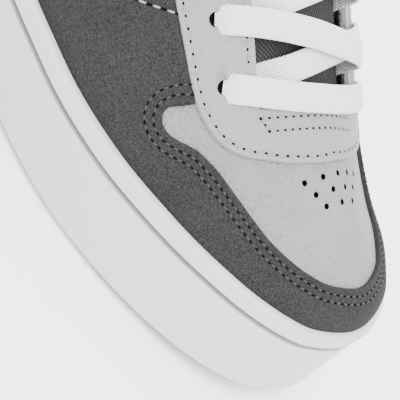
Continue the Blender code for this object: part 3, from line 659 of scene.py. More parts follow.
def eyelet_places(side):
    """Plan points of one side's eyelets, front to back at an even pitch over the instep."""
    y = side * (throat_half(side) + EYELET_SETBACK)
    xs = np.linspace(FRONT_EYELETS + THROAT_SKEW * y, THROAT_BACK, 90)
    line = np.array([draped(x, y, 0.0) for x in xs])
    run = np.concatenate([[0], np.cumsum(np.linalg.norm(np.diff(line, axis=0), axis=1))])
    return [(float(np.interp(k * EYELET_PITCH, run, xs)), y) for k in range(EYELET_PAIRS)]


def prism(name, outline, low, high, axis, lining):
    """An outline pushed through the shoe along Z, or along Y for a side view."""
    count = len(outline)
    points = [(a, b, level) if axis == "Z" else (a, level, b) for level in (low, high) for a, b in outline]
    faces = [(i, (i + 1) % count, (i + 1) % count + count, i + count) for i in range(count)]
    faces += [tuple(reversed(range(count))), tuple(range(count, 2 * count))]
    return piece(name, points, faces, [lining], None)


def bars(name, spots, radius, depth, lining, sides=16):
    """Round bars square to the last at plan points, to punch holes with."""
    points, faces = [], []
    for x, y in spots:
        top, foot = draped(x, y, PUNCH_TOP), draped(x, y, -depth)
        axis = (top - foot) / np.linalg.norm(top - foot)
        across = np.cross(axis, (1.0, 0.0, 0.0))
        across /= np.linalg.norm(across)
        other = np.cross(axis, across)
        first = len(points)
        for end in (foot, top):
            for turn in np.arange(sides) * 2 * math.pi / sides:
                points.append(end + radius * (across * math.cos(turn) + other * math.sin(turn)))
        for k in range(sides):
            n = (k + 1) % sides
            faces.append((first + k, first + n, first + sides + n, first + sides + k))
        faces.append(tuple(first + k for k in reversed(range(sides))))
        faces.append(tuple(first + sides + k for k in range(sides)))
    return piece(name, points, faces, [lining], None)


def leather_material(name, light, dark, grain, depth, roughness):
    """Tumbled leather: pebbles of two sizes with fine creases between them, and a faint change of tone."""
    look = Shader(name, light, roughness, 0.4)
    place = look.place()
    stir = look.noise(place, 260.0)
    stirred = look.node("ShaderNodeVectorMath", settings={"operation": "MULTIPLY_ADD"}, i0=stir,
                        i1=(0.0012, 0.0012, 0.0012), i2=place)
    kind = {"feature": "SMOOTH_F1"}
    cells = look.node("ShaderNodeTexVoronoi", settings=kind, Vector=stirred, Scale=1 / grain)
    cells.node.inputs["Smoothness"].default_value = 0.6
    pebbles = look.math("MULTIPLY", cells, -1.0)
    broad = look.noise(place, 1 / (grain * 4), 3.0)
    fine = look.noise(place, 1 / (grain * 0.25), 3.0)
    first = look.bump(broad, depth * 1.6, 0.8)
    second = look.bump(pebbles, depth, 0.9, first)
    look.bump(fine, depth * 0.25, 0.6, second)
    cloud = look.noise(place, 45.0, 4.0)
    look.colour(look.blend(look.ramp(cloud, 0.35, 0.7), light, dark))
    look.rough(look.ramp(cells, 0.0, 0.6, roughness - 0.06, roughness + 0.08))
    return look.material


# Near-black painted shade for holes: it colours the walls of the punched holes and the flat needle-hole
# discs, standing in for the shade inside them.
HOLE_PAINTED_SHADE = Shader("hole_painted_shade", (0.004, 0.004, 0.004), 0.95, 0.0).material
VAMP_LIGHT = (0.195, 0.191, 0.186)
VAMP_DARK = (0.165, 0.162, 0.158)
VAMP_LEATHER = leather_material("vamp_leather", VAMP_LIGHT, VAMP_DARK, GRAIN_SIZE, 0.0006, 0.48)


EYELETS = eyelet_places(-1) + eyelet_places(1)


def make_upper():
    places = opposite_ribs(130)
    rises = np.concatenate([[-1.0, -0.5], np.linspace(0, 1, 40) ** 1.25])
    around, rise = np.meshgrid(places, rises, indexing="ij")
    outer = shell_point(around, rise, 0.0)
    inner = shell_point(around, rise, -UPPER_WALL)
    faces, (outer, inner) = meeting(len(places), len(rises), outer, inner)
    points, faces, _ = two_skins(outer, inner, faces)
    upper = piece("upper_leather", points, faces, [VAMP_LEATHER], "grey_leather", ["upper"])
    front = [(throat_front(y), y) for y in np.linspace(-THROAT_LATERAL, THROAT_MEDIAL, 25)]
    slot = [(THROAT_BACK, -THROAT_LATERAL)] + front + [(THROAT_BACK, THROAT_MEDIAL)]
    cut(upper, prism("throat_cutter", slot, lip_height(0.0), 2 * COLLAR_HEIGHT, "Z", VAMP_LEATHER))
    shares = np.linspace(COLLAR_LINE[0][0], COLLAR_LINE[-1][0], 60)
    line = [(HEEL_X + s * (TOE_X - HEEL_X), COLLAR_HEIGHT * through(s, COLLAR_LINE, 1)) for s in shares]
    line = [(line[0][0] - LIP_WIDTH, line[0][1])] + line
    line += [(line[-1][0], 2 * COLLAR_HEIGHT), (line[0][0], 2 * COLLAR_HEIGHT)]
    cut(upper, prism("collar_cutter", line, -BALL_WIDTH, BALL_WIDTH, "Y", VAMP_LEATHER))
    # The punch bars carry the near-black painted shade, which the cuts hand on to the walls of the lace holes
    # and toe holes.
    cut(upper, bars("eyelet_punch", EYELETS, EYELET_RADIUS, PUNCH_DEPTH, HOLE_PAINTED_SHADE))
    small = []
    for x, y, pitch, number in TOE_HOLES:
        small += [(x + TOE_ROW_LEAN * k * pitch, y + k * pitch) for k in range(number)]
    cut(upper, bars("toe_punch", small, HOLE_RADIUS, TOE_PUNCH_DEPTH, HOLE_PAINTED_SHADE, 12))


make_upper()

# Mudguard. A toe wrap of dark grey suede, 1.2 mm thick with a cut edge, stuck over the vamp and held by two
# rows of grey thread. Its horns run back under the edge of the eyestay to a seam with pale thread.
OVERLAY_GAP = 0.0003
OVERLAY = 0.0012
EDGE_ROLL = 0.0006
SUEDE_PITCH = 0.0026
REAR_PITCH = 0.0041
LEATHER_PITCH = 0.0034
THREAD_RADIUS = 0.00028
THREAD_SINK = 0.0002
SUEDE_INSETS = (0.0024, 0.0049)
SUEDE_NEEDLE = (0.00060, 0.00032)
REAR_NEEDLE = (0.00095, 0.00042)
LEATHER_NEEDLE = (0.00050, 0.00036)
STITCH_MARGIN = 0.003
STITCH_STEP = 0.0003
HORN_MARGIN = 0.0015
SUEDE_DARK = (0.002, 0.002, 0.0022)
SUEDE_LIGHT = (0.038, 0.038, 0.039)

MUDGUARD = (
    # around at foot, around at top, rise
    (0.2680, 0.3225, 0.560),
    (0.2870, 0.3330, 0.550),
    (0.3070, 0.3450, 0.535),
    (0.3250, 0.3570, 0.515),
    (0.3370, 0.3655, 0.488),
    (0.3405, 0.3641, 0.466),
    (0.3440, 0.3622, 0.440),
    (0.3475, 0.3611, 0.413),
    (0.3510, 0.3607, 0.387),
    (0.3550, 0.3613, 0.363),
    (0.3590, 0.3630, 0.343),
    (0.3632, 0.3660, 0.333),
    (0.3675, 0.3690, 0.335),
    (0.3730, 0.3738, 0.356),
    (0.3780, 0.3786, 0.386),
    (0.3829, 0.3831, 0.409),
    (0.3888, 0.3888, 0.424),
    (0.3960, 0.3960, 0.439),
    (0.4098, 0.4098, 0.447),
    (0.4330, 0.4330, 0.437),
    (0.4535, 0.4535, 0.427),
    (0.4740, 0.4740, 0.426),
    (0.5000, 0.5000, 0.420),
)
LOBE_START = 0.3385
REAR_SEAM = (
    # around, rise
    (0.2660, 0.02),
    (0.3164, 0.4213),
    (0.3243, 0.4850),
    (0.3305, 0.5330),
)
EYESTAY_BACK = -0.022
EYESTAY_WIDTH = 0.0224
EYESTAY_TURN = 0.014
EYESTAY_REACH = 0.0373
EYESTAY_NOSE = 0.0253
EYESTAY_FRONT = 0.0144
EYESTAY_SKEW = 0.08
EYESTAY_BEND = 1.2
CENTRE_STEP = 1e-5
EYESTAY = (
    # back, out
    (0.004, 0.13),
    (0.040, 0.26),
    (0.116, 0.458),
    (0.223, 0.619),
    (0.309, 0.735),
    (0.469, 0.853),
    (0.609, 0.909),
    (0.767, 0.949),
    (0.964, 0.981),
)


def down_rib(around, rise, distance):
    """The rise reached by going down a rib over the last's surface."""
    rises = np.linspace(rise, 0.0, 60)
    line = last_point(np.full(rises.shape, around), rises)
    run = np.concatenate([[0], np.cumsum(np.linalg.norm(np.diff(line, axis=0), axis=1))])
    return float(np.interp(distance, run, rises))


def eyestay_edges(side, fine):
    """Rib and rise of the eyestay's inner and outer edge on one side, front centre to back."""
    nose = THROAT_FRONT + THROAT_BOW + EYESTAY_FRONT
    centre = side * CENTRE_STEP
    edges = [(*rib_at(throat_front(0.0), centre), *rib_at(nose, centre))]
    rows = [(nose - b * EYESTAY_NOSE, o * EYESTAY_REACH) for b, o in EYESTAY]
    outline = rounded([(nose, 0.0)] + rows, fine)[1:]
    half = throat_half(side)
    bend = half * EYESTAY_BEND
    for x, y in outline:
        inner_y = min(y / EYESTAY_BEND, half)
        back = EYESTAY_TURN * (max(y - bend, 0.0) / (EYESTAY_REACH - bend)) ** 2
        inner = rib_at(throat_front(side * inner_y) - back, side * inner_y)
        edges.append((*inner, *rib_at(x + EYESTAY_SKEW * side * y, side * y)))
    front = down_length(edges[-1])
    inner_x = throat_front(side * half) - EYESTAY_TURN
    for share in np.linspace(0, 1.0, 4 * fine + 1)[1:]:
        x = inner_x + (EYESTAY_BACK - inner_x) * share
        around, rise = rib_at(x, side * half)
        width = EYESTAY_WIDTH + (front - EYESTAY_WIDTH) * (1 - min(1, share / 0.3)) ** 2
        edges.append((around, rise, around, down_rib(around, rise, width)))
    return np.array(edges, float)


def down_length(edge):
    """How far down the last it is from the inner to the outer end of one of the eyestay's columns."""
    shares = np.linspace(0, 1, 30)
    line = last_point(edge[0] + (edge[2] - edge[0]) * shares, edge[1] + (edge[3] - edge[1]) * shares)
    return float(np.linalg.norm(np.diff(line, axis=0), axis=1).sum())


def columns_of(table, count):
    """Evenly spaced columns of a panel from its table: around at foot, around at top, rise at top."""
    dense = rounded([(row[0], row[2], row[1]) for row in table], 16)
    step = np.linalg.norm(np.diff(dense[:, [1, 2]] * np.array([0.06, 0.75]), axis=0), axis=1)
    run = np.concatenate([[0], np.cumsum(step)])
    at = np.linspace(0, run[-1], count)
    return np.stack([np.interp(at, run, dense[:, c]) for c in (0, 2, 1)], axis=-1)


def roll(distance, height, radius=EDGE_ROLL):
    """Height of a cut edge with a small round: half the thickness stands square, the rest rolls over."""
    share = np.clip(distance / radius, 0, 1)
    return height * (0.5 + 0.5 * np.sqrt(1 - (1 - share) ** 2))


def seam_dip(distance, seam, depth=0.00025, spread=0.0011):
    """The leather pulls in a little where a row of stitches holds it down."""
    return -depth * np.exp(-((distance - seam) / spread) ** 2)


def distance_to(points, line):
    """Distance from each point of a grid to a polyline, in metres."""
    flat = points.reshape(-1, 3)
    best = np.full(len(flat), 1.0)
    start, end = line[:-1], line[1:]
    for a, b in zip(start, end):
        span = b - a
        share = np.clip(((flat - a) @ span) / max(span @ span, 1e-12), 0, 1)
        best = np.minimum(best, np.linalg.norm(flat - a - share[:, None] * span, axis=1))
    return best.reshape(points.shape[:-1])


def stitches(name, row, pitch, material, slot, gap_share, hole):
    """A row of lockstitches along a line on a surface: short fat threads that dive into needle holes, drawn
    as flat near-black discs of painted shade.
    """
    line, normals = row
    thread = THREAD_RADIUS
    run = np.concatenate([[0], np.cumsum(np.linalg.norm(np.diff(line, axis=0), axis=1))])
    count = max(2, int(round(run[-1] / pitch)))
    points, faces, kinds = [], [], []
    sides, steps = 6, 7

    def read(values, distance):
        return np.array([np.interp(distance, run, values[:, c]) for c in range(3)])

    def at(distance):
        up = read(normals, distance)
        up /= np.linalg.norm(up)
        ahead = read(line, distance + STITCH_STEP) - read(line, distance - STITCH_STEP)
        ahead /= np.linalg.norm(ahead)
        return read(line, distance), up, np.cross(up, ahead), ahead

    for k in range(count):
        low, high = (k + gap_share / 2) * run[-1] / count, (k + 1 - gap_share / 2) * run[-1] / count
        first = len(points)
        for j in range(steps):
            share = j / (steps - 1)
            spot, up, across, _ = at(low + (high - low) * share)
            arch = math.sin(math.pi * share)
            radius = thread * (0.45 + 0.55 * arch**0.5)
            middle = spot + up * (thread * (0.9 * arch**0.6 - 0.55))
            for n in range(sides):
                turn = 2 * math.pi * n / sides
                points.append(middle + radius * (across * math.cos(turn) * 1.15 + up * math.sin(turn)))
        for j in range(steps - 1):
            for n in range(sides):
                a, b = first + j * sides + n, first + j * sides + (n + 1) % sides
                faces.append((a, b, b + sides, a + sides))
                kinds.append(0)
        faces.append(tuple(first + n for n in reversed(range(sides))))
        faces.append(tuple(first + (steps - 1) * sides + n for n in range(sides)))
        kinds += [0, 0]
    # Needle holes: flat discs just over the surface in the near-black painted shade material.
    for k in range(count + 1):
        spot, up, across, ahead = at(k * run[-1] / count)
        long, wide = hole
        first = len(points)
        points.append(spot + up * 0.00011)
        for n in range(10):
            turn = 2 * math.pi * n / 10
            rim = ahead * long * math.cos(turn) + across * wide * math.sin(turn)
            points.append(spot + up * 0.00003 + rim)
        for n in range(10):
            faces.append((first, first + 1 + n, first + 1 + (n + 1) % 10))
            kinds.append(1)
    piece(name, points, faces, [material, HOLE_PAINTED_SHADE], slot, kinds=kinds, sharp=80)


def suede_material():
    """Suede: a short nap that mottles light and dark at two scales, with no gloss."""
    look = Shader("mudguard_suede", (0.105, 0.105, 0.108), 0.95, 0.12)
    place = look.place()
    nap = look.noise(place, 2600.0, 4.0, 0.7)
    tuft = look.noise(place, 1100.0, 4.0, 0.65)
    cloud = look.noise(place, 60.0, 3.0, 0.6)
    coarse = look.math("ADD", look.math("MULTIPLY", tuft, 0.22), look.math("MULTIPLY", cloud, 0.06))
    mixed = look.math("ADD", look.math("MULTIPLY", nap, 0.72), coarse)
    look.colour(look.blend(look.ramp(mixed, 0.36, 0.64), SUEDE_DARK, SUEDE_LIGHT))
    first = look.bump(tuft, 0.00030, 0.8)
    look.bump(nap, 0.00016, 0.9, first)
    look.surface.inputs["Sheen Weight"].default_value = 0.02
    look.surface.inputs["Sheen Roughness"].default_value = 0.6
    look.surface.inputs["Sheen Tint"].default_value = (0.6, 0.6, 0.62, 1.0)
    return look.material


def thread_material(name, colour):
    look = Shader(name, colour, 0.7, 0.3)
    twist = look.node("ShaderNodeTexWave", Vector=look.place(), Scale=900.0, Distortion=2.0)
    look.bump(twist, 0.00008, 0.6)
    return look.material


SUEDE = suede_material()
GREY_THREAD = thread_material("grey_thread", (0.032, 0.032, 0.033))
PALE_THREAD = thread_material("pale_thread", (0.24, 0.236, 0.23))
STAY_OUTER = {side: eyestay_edges(side, 6)[:, 2:] for side in (-1, 1)}


def panel(name, strip, rows, thick, material, slot, node, bottom_seat, seams, edge=None, raised=None):
    """An overlay between two lines of rib and rise, each column from its bottom or inner edge to its top."""
    share = np.linspace(0, 1, rows)
    share = 0.5 - 0.5 * np.cos(math.pi * share) if not bottom_seat else 1 - (1 - share) ** 1.5
    share = share[None, :]
    around = strip[:, 0:1] + (strip[:, 2:3] - strip[:, 0:1]) * share
    rise = strip[:, 1:2] + (strip[:, 3:4] - strip[:, 1:2]) * share
    base = last_point(around, rise)
    free = distance_to(base, base[:, -1])
    if not bottom_seat:
        free = np.minimum(free, distance_to(base, base[:, 0]))
    for column in (0, -1):
        free = np.minimum(free, distance_to(base, base[column]))
    lift = roll(free, thick)
    for seam in seams:
        lift = lift + seam_dip(distance_to(base, seam), 0.0)
    if raised is not None:
        lift = lift + raised(around, rise)
    normal = normal_at(around, rise)
    outer = base + normal * (OVERLAY_GAP + lift)[..., None]
    inner = base + normal * (OVERLAY_GAP * 0.4)
    if bottom_seat:
        for skin in (outer, inner):
            skin[:, 0, 2] = lip_height(skin[:, 0, 0]) + SEAT_GAP * 0.5
    faces = lattice(len(strip), rows)
    points, faces, skin_count = two_skins(outer.reshape(-1, 3), inner.reshape(-1, 3), faces)
    kinds = None
    materials = [material]
    if edge is not None:
        kinds = [0] * (2 * skin_count) + [1] * (len(faces) - 2 * skin_count)
        materials.append(edge)
    piece(name, points, faces, materials, slot, [node], kinds=kinds, sharp=50)


def mudguard_strip():
    lateral = columns_of(MUDGUARD, 260)
    lateral[:, :2] *= TOE_AROUND / 0.5
    medial = lateral[:-1][::-1].copy()
    medial[:, 0], medial[:, 1] = opposite(medial[:, 0]), opposite(medial[:, 1])
    start = LOBE_START * TOE_AROUND / 0.5
    horn = lateral[:, 0] < start
    for side, rows, behind in ((-1, lateral, horn), (1, medial, horn[:-1][::-1])):
        stay = STAY_OUTER[side]
        stay = stay[np.argsort(stay[:, 0])]
        limit = np.interp(rows[:, 1], stay[:, 0], stay[:, 1]) - HORN_MARGIN
        rows[:, 2] = np.where(behind, np.minimum(rows[:, 2], limit), rows[:, 2])
    strip = np.vstack([lateral, medial])
    lobe = slice(int(horn.sum()) - 1, len(strip) - int(horn.sum()) + 1)
    return np.column_stack([strip[:, 0], strip[:, 0] * 0, strip[:, 1], strip[:, 2]]), lobe


def beside(around, rise, inset):
    """The line at an even distance to the right of a line of ribs and rises, over the last's surface."""
    spot = last_point(around, rise)
    ahead = np.gradient(spot, axis=0)
    ahead /= np.linalg.norm(ahead, axis=1)[:, None]
    away = np.cross(ahead, normal_at(around, rise)) * inset
    by_rib = (last_point(around + 0.0005, rise) - spot) / 0.0005
    by_rise = (last_point(around, rise - 0.002) - spot) / -0.002
    steps = zip(by_rib, by_rise, away)
    moved = [np.linalg.lstsq(np.stack([a, b], axis=1), c, rcond=None)[0] for a, b, c in steps]
    moved = np.array(moved)
    return around + moved[:, 0], rise + moved[:, 1]


def seam_line(around, rise, lift):
    return shell_point(around, rise, lift), normal_at(around, rise)


def make_mudguard():
    strip, lobe = mudguard_strip()
    top, rise = strip[lobe, 2], strip[lobe, 3]
    ends = 6
    lead = np.arange(ends, 0, -1)
    top = np.concatenate([top[0] + lead * 0.0007, top, top[-1] - lead[::-1] * 0.0007])
    rise = np.concatenate([rise[0] + lead * 0.0085, rise, rise[-1] + lead[::-1] * 0.0085])
    seams = []
    near, far = (STAY_OUTER[side][np.argsort(STAY_OUTER[side][:, 0])] for side in (-1, 1))
    for inset in SUEDE_INSETS:
        u, t = beside(top, rise, inset)
        under_near, under_far = (np.interp(u, edge[:, 0], edge[:, 1]) for edge in (near, far))
        keep = t < np.where(u < TOE_AROUND, under_near, under_far) - STITCH_MARGIN
        seams.append((u[keep], t[keep]))
    rear = rounded(REAR_SEAM, 12)
    seams.append((rear[:, 0], rear[:, 1]))
    seams.append((opposite(rear[:, 0]), rear[:, 1]))
    lines = [shell_point(u, t, 0.0) for u, t in seams]
    panel("mudguard_suede", strip, 40, OVERLAY, SUEDE, "dark_suede", "mudguard", True, lines)
    for number, (u, t) in enumerate(seams):
        row = seam_line(u, t, OVERLAY_GAP + OVERLAY - THREAD_SINK)
        if number < 2:
            name = "suede_stitches_%d" % (number + 1)
            stitches(name, row, SUEDE_PITCH, GREY_THREAD, "dark_suede", 0.50, SUEDE_NEEDLE)
        else:
            name = "rear_stitches_%d" % (number - 1)
            stitches(name, row, REAR_PITCH, PALE_THREAD, "dark_suede", 0.44, REAR_NEEDLE)


make_mudguard()

# Eyestay. The facing round the throat: a U of smoother grey leather, 1.2 mm thick, with a pale cut edge. One
# row of stitches runs inside its outer edge, one along each side of the throat, and two short rows across the
# front hold the tongue.
STAY_LIGHT = (0.222, 0.218, 0.212)
STAY_DARK = (0.196, 0.192, 0.187)
STAY_LEATHER = leather_material("eyestay_leather", STAY_LIGHT, STAY_DARK, GRAIN_SIZE * 0.9, 0.00042, 0.44)
CUT_EDGE = Shader("cut_leather_edge", (0.42, 0.41, 0.40), 0.8, 0.2).material
FACING = 0.0014
FLEX_DIP = 0.0005
TROUGH_PLACE = 0.0085
THROAT_ROWS = ((0.0024, -0.0222), (0.0056, -0.0202))
THROAT_ROW_END = 0.0125
OUTER_INSET = 0.0019
INNER_INSET = 0.0023
FLEX_PLACE = -0.002
FLEX_REACH = 0.014
FLEX_WIDTH = 0.0024
FLEX_LEAN = 0.10


def make_eyestay():
    medial, lateral = eyestay_edges(1, 8), eyestay_edges(-1, 8)
    strip = np.vstack([lateral[:0:-1], medial])
    outer_row = beside(strip[:, 2], strip[:, 3], -OUTER_INSET)
    inner_row = beside(strip[:, 0], strip[:, 1], INNER_INSET)
    keep = 8 * 4 + 4
    sides = [(inner_row[0][:keep], inner_row[1][:keep]), (inner_row[0][-keep:], inner_row[1][-keep:])]
    corners = []
    for offset, start in THROAT_ROWS:
        ys = np.linspace(start, THROAT_ROW_END, 30)
        corners.append(rib_at(throat_front(ys) + offset, ys))
    (u0, t0), (u1, t1) = ((row[0][0], row[1][0]) for row in corners)
    rows = [outer_row] + sides + corners + [(np.linspace(u0, u1, 4), np.linspace(t0, t1, 4))]
    seams = [shell_point(u, t, 0.0) for u, t in rows]
    panel("eyestay_facing", strip, 30, FACING, STAY_LEATHER, "grey_leather", "eyestay", False, seams,
          edge=CUT_EDGE, raised=flex_trough)
    facing = bpy.data.objects["eyestay_facing"]
    # The punch bars carry the near-black painted shade onto the walls of the lace holes.
    cut(facing, bars("facing_punch", EYELETS, EYELET_RADIUS, PUNCH_DEPTH, HOLE_PAINTED_SHADE))
    names = ["outer", "lateral", "medial", "front_1", "front_2", "slant"]
    for name, (u, t) in zip(names, rows):
        row = seam_line(u, t, OVERLAY_GAP + OVERLAY - 0.00005)
        pitch = SUEDE_PITCH if "front" in name else LEATHER_PITCH
        stitches("facing_stitches_" + name, row, pitch, PALE_THREAD, "grey_leather", 0.26, LEATHER_NEEDLE)


def flex_trough(around, rise):
    """A shallow dip across the front, where the facing bends with the toes."""
    spot = last_point(around, rise)
    middle = THROAT_FRONT + THROAT_BOW + TROUGH_PLACE
    reach = np.exp(-((spot[..., 1] - FLEX_PLACE) / FLEX_REACH) ** 2)
    return -FLEX_DIP * reach * np.exp(-((spot[..., 0] - middle - FLEX_LEAN * spot[..., 1]) / FLEX_WIDTH) ** 2)


make_eyestay()

# Heel counter. A plain patch of the same suede, 1.2 mm thick, stuck round the back of the heel and held by
# one row of grey stitches inside its top edge.
COUNTER = (
    # around at foot, around at top, rise
    (0.135, 0.1260, 0.020),
    (0.122, 0.1100, 0.055),
    (0.102, 0.0930, 0.095),
    (0.072, 0.0670, 0.130),
    (0.036, 0.0340, 0.150),
    (0.000, 0.0000, 0.155),
)


COUNTER_INSET = 0.0026
COUNTER_NEEDLE = (0.00072, 0.00042)


def make_counter():
    lateral = columns_of(COUNTER, 90)
    medial = lateral[:-1][::-1].copy()
    medial[:, 0], medial[:, 1] = opposite(medial[:, 0]) - 1, opposite(medial[:, 1]) - 1
    rows = np.vstack([lateral, medial])
    strip = np.column_stack([rows[:, 0], rows[:, 0] * 0, rows[:, 1], rows[:, 2]])
    u, t = beside(strip[8:-8, 2], strip[8:-8, 3], -COUNTER_INSET)
    seams = [shell_point(u, t, 0.0)]
    panel("heel_counter_suede", strip, 26, OVERLAY, SUEDE, "dark_suede", "heel_counter", True, seams)
    row = seam_line(u, t, OVERLAY_GAP + OVERLAY - THREAD_SINK)
    stitches("counter_stitches", row, SUEDE_PITCH, GREY_THREAD, "dark_suede", 0.50, COUNTER_NEEDLE)


make_counter()

# Collar lining. Dark padded textile, stuck inside the collar and fullest just under the top line, where it
# rolls over the cut edge of the leather.
COLLAR_PAD = 0.0055
COLLAR_DEPTH = 0.034
COLLAR_FRONT = 0.158
COLLAR_DROP = 0.0003
COLLAR_ROLL = 0.0012


def lining_material():
    look = Shader("collar_textile", (0.16, 0.16, 0.17), 0.92, 0.2)
    place = look.node("ShaderNodeSeparateXYZ", i0=look.place())
    u = look.math("SINE", look.math("MULTIPLY", place, 2 * math.pi / 0.0013))
    v = look.math("SINE", look.math("MULTIPLY", place.node.outputs[2], 2 * math.pi / 0.0010))
    look.bump(look.math("MULTIPLY", u, v), 0.00016, 0.8)
    look.colour(look.blend(look.noise(look.place(), 400.0), (0.11, 0.11, 0.115), (0.21, 0.21, 0.215)))
    return look.material


def rise_at_height(around, height):
    """The rise at which a rib reaches a height."""
    rises = np.linspace(0, 1, 200)
    z = last_point(np.full(rises.shape, around), rises)[:, 2]
    return float(np.interp(height, z, rises))


def make_lining():
    lateral = np.linspace(COLLAR_FRONT, 0.0, 80)
    places = np.concatenate([lateral, opposite(lateral[-2::-1])])
    rows = 26
    outer, inner = [], []
    for place in places:
        rise = 0.4
        for step in range(6):
            x = float(last_point(np.float64(place), np.float64(rise))[0])
            top = COLLAR_HEIGHT * float(through(along(x), COLLAR_LINE, 1)) - COLLAR_DROP
            rise = rise_at_height(place, top)
        share = np.linspace(0, 1, rows)
        heights = np.array([rise_at_height(place, top - COLLAR_DEPTH * (1 - s)) for s in share])
        pad = COLLAR_PAD * (0.15 + 0.85 * np.sin(math.pi * (0.06 + 0.86 * share)) ** 0.7)
        around = np.full(rows, place)
        skin = shell_point(around, heights, -UPPER_WALL - SEAT_GAP)
        face = shell_point(around, heights, -UPPER_WALL - SEAT_GAP - pad)
        face[:, 2] += COLLAR_ROLL * np.clip((share - 0.8) / 0.2, 0, 1)
        outer.append(skin)
        inner.append(face)
    points, faces, _ = two_skins(np.vstack(outer), np.vstack(inner), lattice(len(places), rows))
    lining = piece("collar_padding", points, faces, [lining_material()], "lining_fabric", ["collar_lining"],
                   sharp=75)


make_lining()

# Tongue. Dark knitted mesh over thin foam, stitched down under the facing in front of the throat and loose
# above it.
TONGUE_THICK = 0.0048
TONGUE_FIT = 0.0007
TONGUE_LATERAL = 0.0265
TONGUE_MEDIAL = 0.0300
TONGUE_FRONT = 0.0990
TONGUE_BACK = -0.047
TONGUE_TAPER = 0.10
MESH_PITCH = 0.0015
MESH_DARK = (0.003, 0.003, 0.0034)
MESH_YARN = (0.055, 0.055, 0.057)


def mesh_material():
    """Spacer mesh: rows of small open diamonds between pale yarns, over a dark ground."""
    look = Shader("tongue_knit", (0.10, 0.10, 0.105), 0.85, 0.25)
    chart = look.chart()
    u = look.math("MULTIPLY", chart, 2 * math.pi / MESH_PITCH)
    v = look.math("MULTIPLY", chart.node.outputs[1], 2 * math.pi / (MESH_PITCH * 0.8))
    first = look.math("SINE", look.math("ADD", u, v))
    second = look.math("SINE", look.math("SUBTRACT", u, v))
    yarn = look.math("MAXIMUM", first, second)
    raised = look.ramp(yarn, 0.1, 0.9)
    look.bump(raised, 0.00045, 0.9)
    fuzz = look.noise(look.place(), 1500.0, 3.0)
    shade = look.math("MULTIPLY", raised, look.ramp(fuzz, 0.2, 0.8, 0.6, 1.0))
    look.colour(look.blend(shade, MESH_DARK, MESH_YARN))
    return look.material


def make_tongue():
    stations, rows = 110, 41
    share = np.linspace(0, 1, stations)[:, None]
    side = np.linspace(-1, 1, rows)[None, :]
    x = TONGUE_FRONT + (TONGUE_BACK - TONGUE_FRONT) * share
    corner = 1 - 0.35 * np.clip((share - 0.93) / 0.07, 0, None) ** 3
    half = np.where(side < 0, TONGUE_LATERAL, TONGUE_MEDIAL) * (1 - TONGUE_TAPER * share) * corner
    thin_top = 1 - 0.5 * np.clip((share - 0.95) / 0.05, 0, None) ** 2
    pad = TONGUE_THICK * (1 - 0.55 * np.abs(side) ** 5) * thin_top
    around, rise = rib_at(x + THROAT_SKEW * half * side * (1 - share), half * side)
    outer = shell_point(around, rise, -UPPER_WALL - TONGUE_FIT - 0.5 * (TONGUE_THICK - pad))
    inner = shell_point(around, rise, -UPPER_WALL - TONGUE_FIT - 0.5 * (TONGUE_THICK + pad))
    middle = outer[:, rows // 2]
    run = np.concatenate([[0], np.cumsum(np.linalg.norm(np.diff(middle, axis=0), axis=1))])[:, None]
    chart = np.stack(np.broadcast_arrays(run, half * side), axis=-1).reshape(-1, 2)
    points, faces, _ = two_skins(outer.reshape(-1, 3), inner.reshape(-1, 3), lattice(stations, rows))
    tongue = piece("tongue_pad", points, faces, [mesh_material()], "tongue_mesh", ["tongue"],
                   np.vstack([chart, chart]), sharp=75)


make_tongue()

# Lace. One flat braided cotton lace, 8 mm wide: a bar over the first pair of eyelets, then at each level a
# strand from the lateral eyelet lies over the one from the medial eyelet. Each goes under the facing of the
# other side, and the hidden ends stop at the top eyelets.
LACE_WIDTH = 0.0082
LACE_THICK = 0.0019
LACE_FIT = 0.0003
BRAID_PITCH = 0.0013
# The darker braid colour below is painted shade for the hollows between the knots.
BRAID_PAINTED_SHADE = (0.62, 0.62, 0.625)
BRAID_LIGHT = (0.88, 0.88, 0.88)
BAR_BOW = 0.0075
BAR_LEAN = 0.0010
OVER_BOW = 0.0038
UNDER_BOW = 0.0030
CROSS_END = 0.0030
BEHIND_MEDIAL = 0.0085
BEFORE_LATERAL = 0.0020


def lace_material():
    look = Shader("lace_braid", (0.86, 0.86, 0.86), 0.8, 0.25)
    chart = look.chart()
    u = look.math("MULTIPLY", chart, math.pi / BRAID_PITCH)
    v = look.math("MULTIPLY", chart.node.outputs[1], math.pi / (BRAID_PITCH * 0.75))
    first = look.math("ABSOLUTE", look.math("SINE", look.math("ADD", u, v)))
    second = look.math("ABSOLUTE", look.math("SINE", look.math("SUBTRACT", u, v)))
    knots = look.math("MULTIPLY", first, second)
    yarn = look.noise(look.place(), 2600.0, 3.0)
    base = look.bump(yarn, 0.00006, 0.6)
    look.bump(knots, 0.00050, 0.8, base)
    # Painted shade: the white cotton darkens to grey in the hollows between the knots, following the bump.
    look.colour(look.blend(look.ramp(knots, 0.0, 0.5), BRAID_PAINTED_SHADE, BRAID_LIGHT))
    return look.material


COTTON = lace_material()


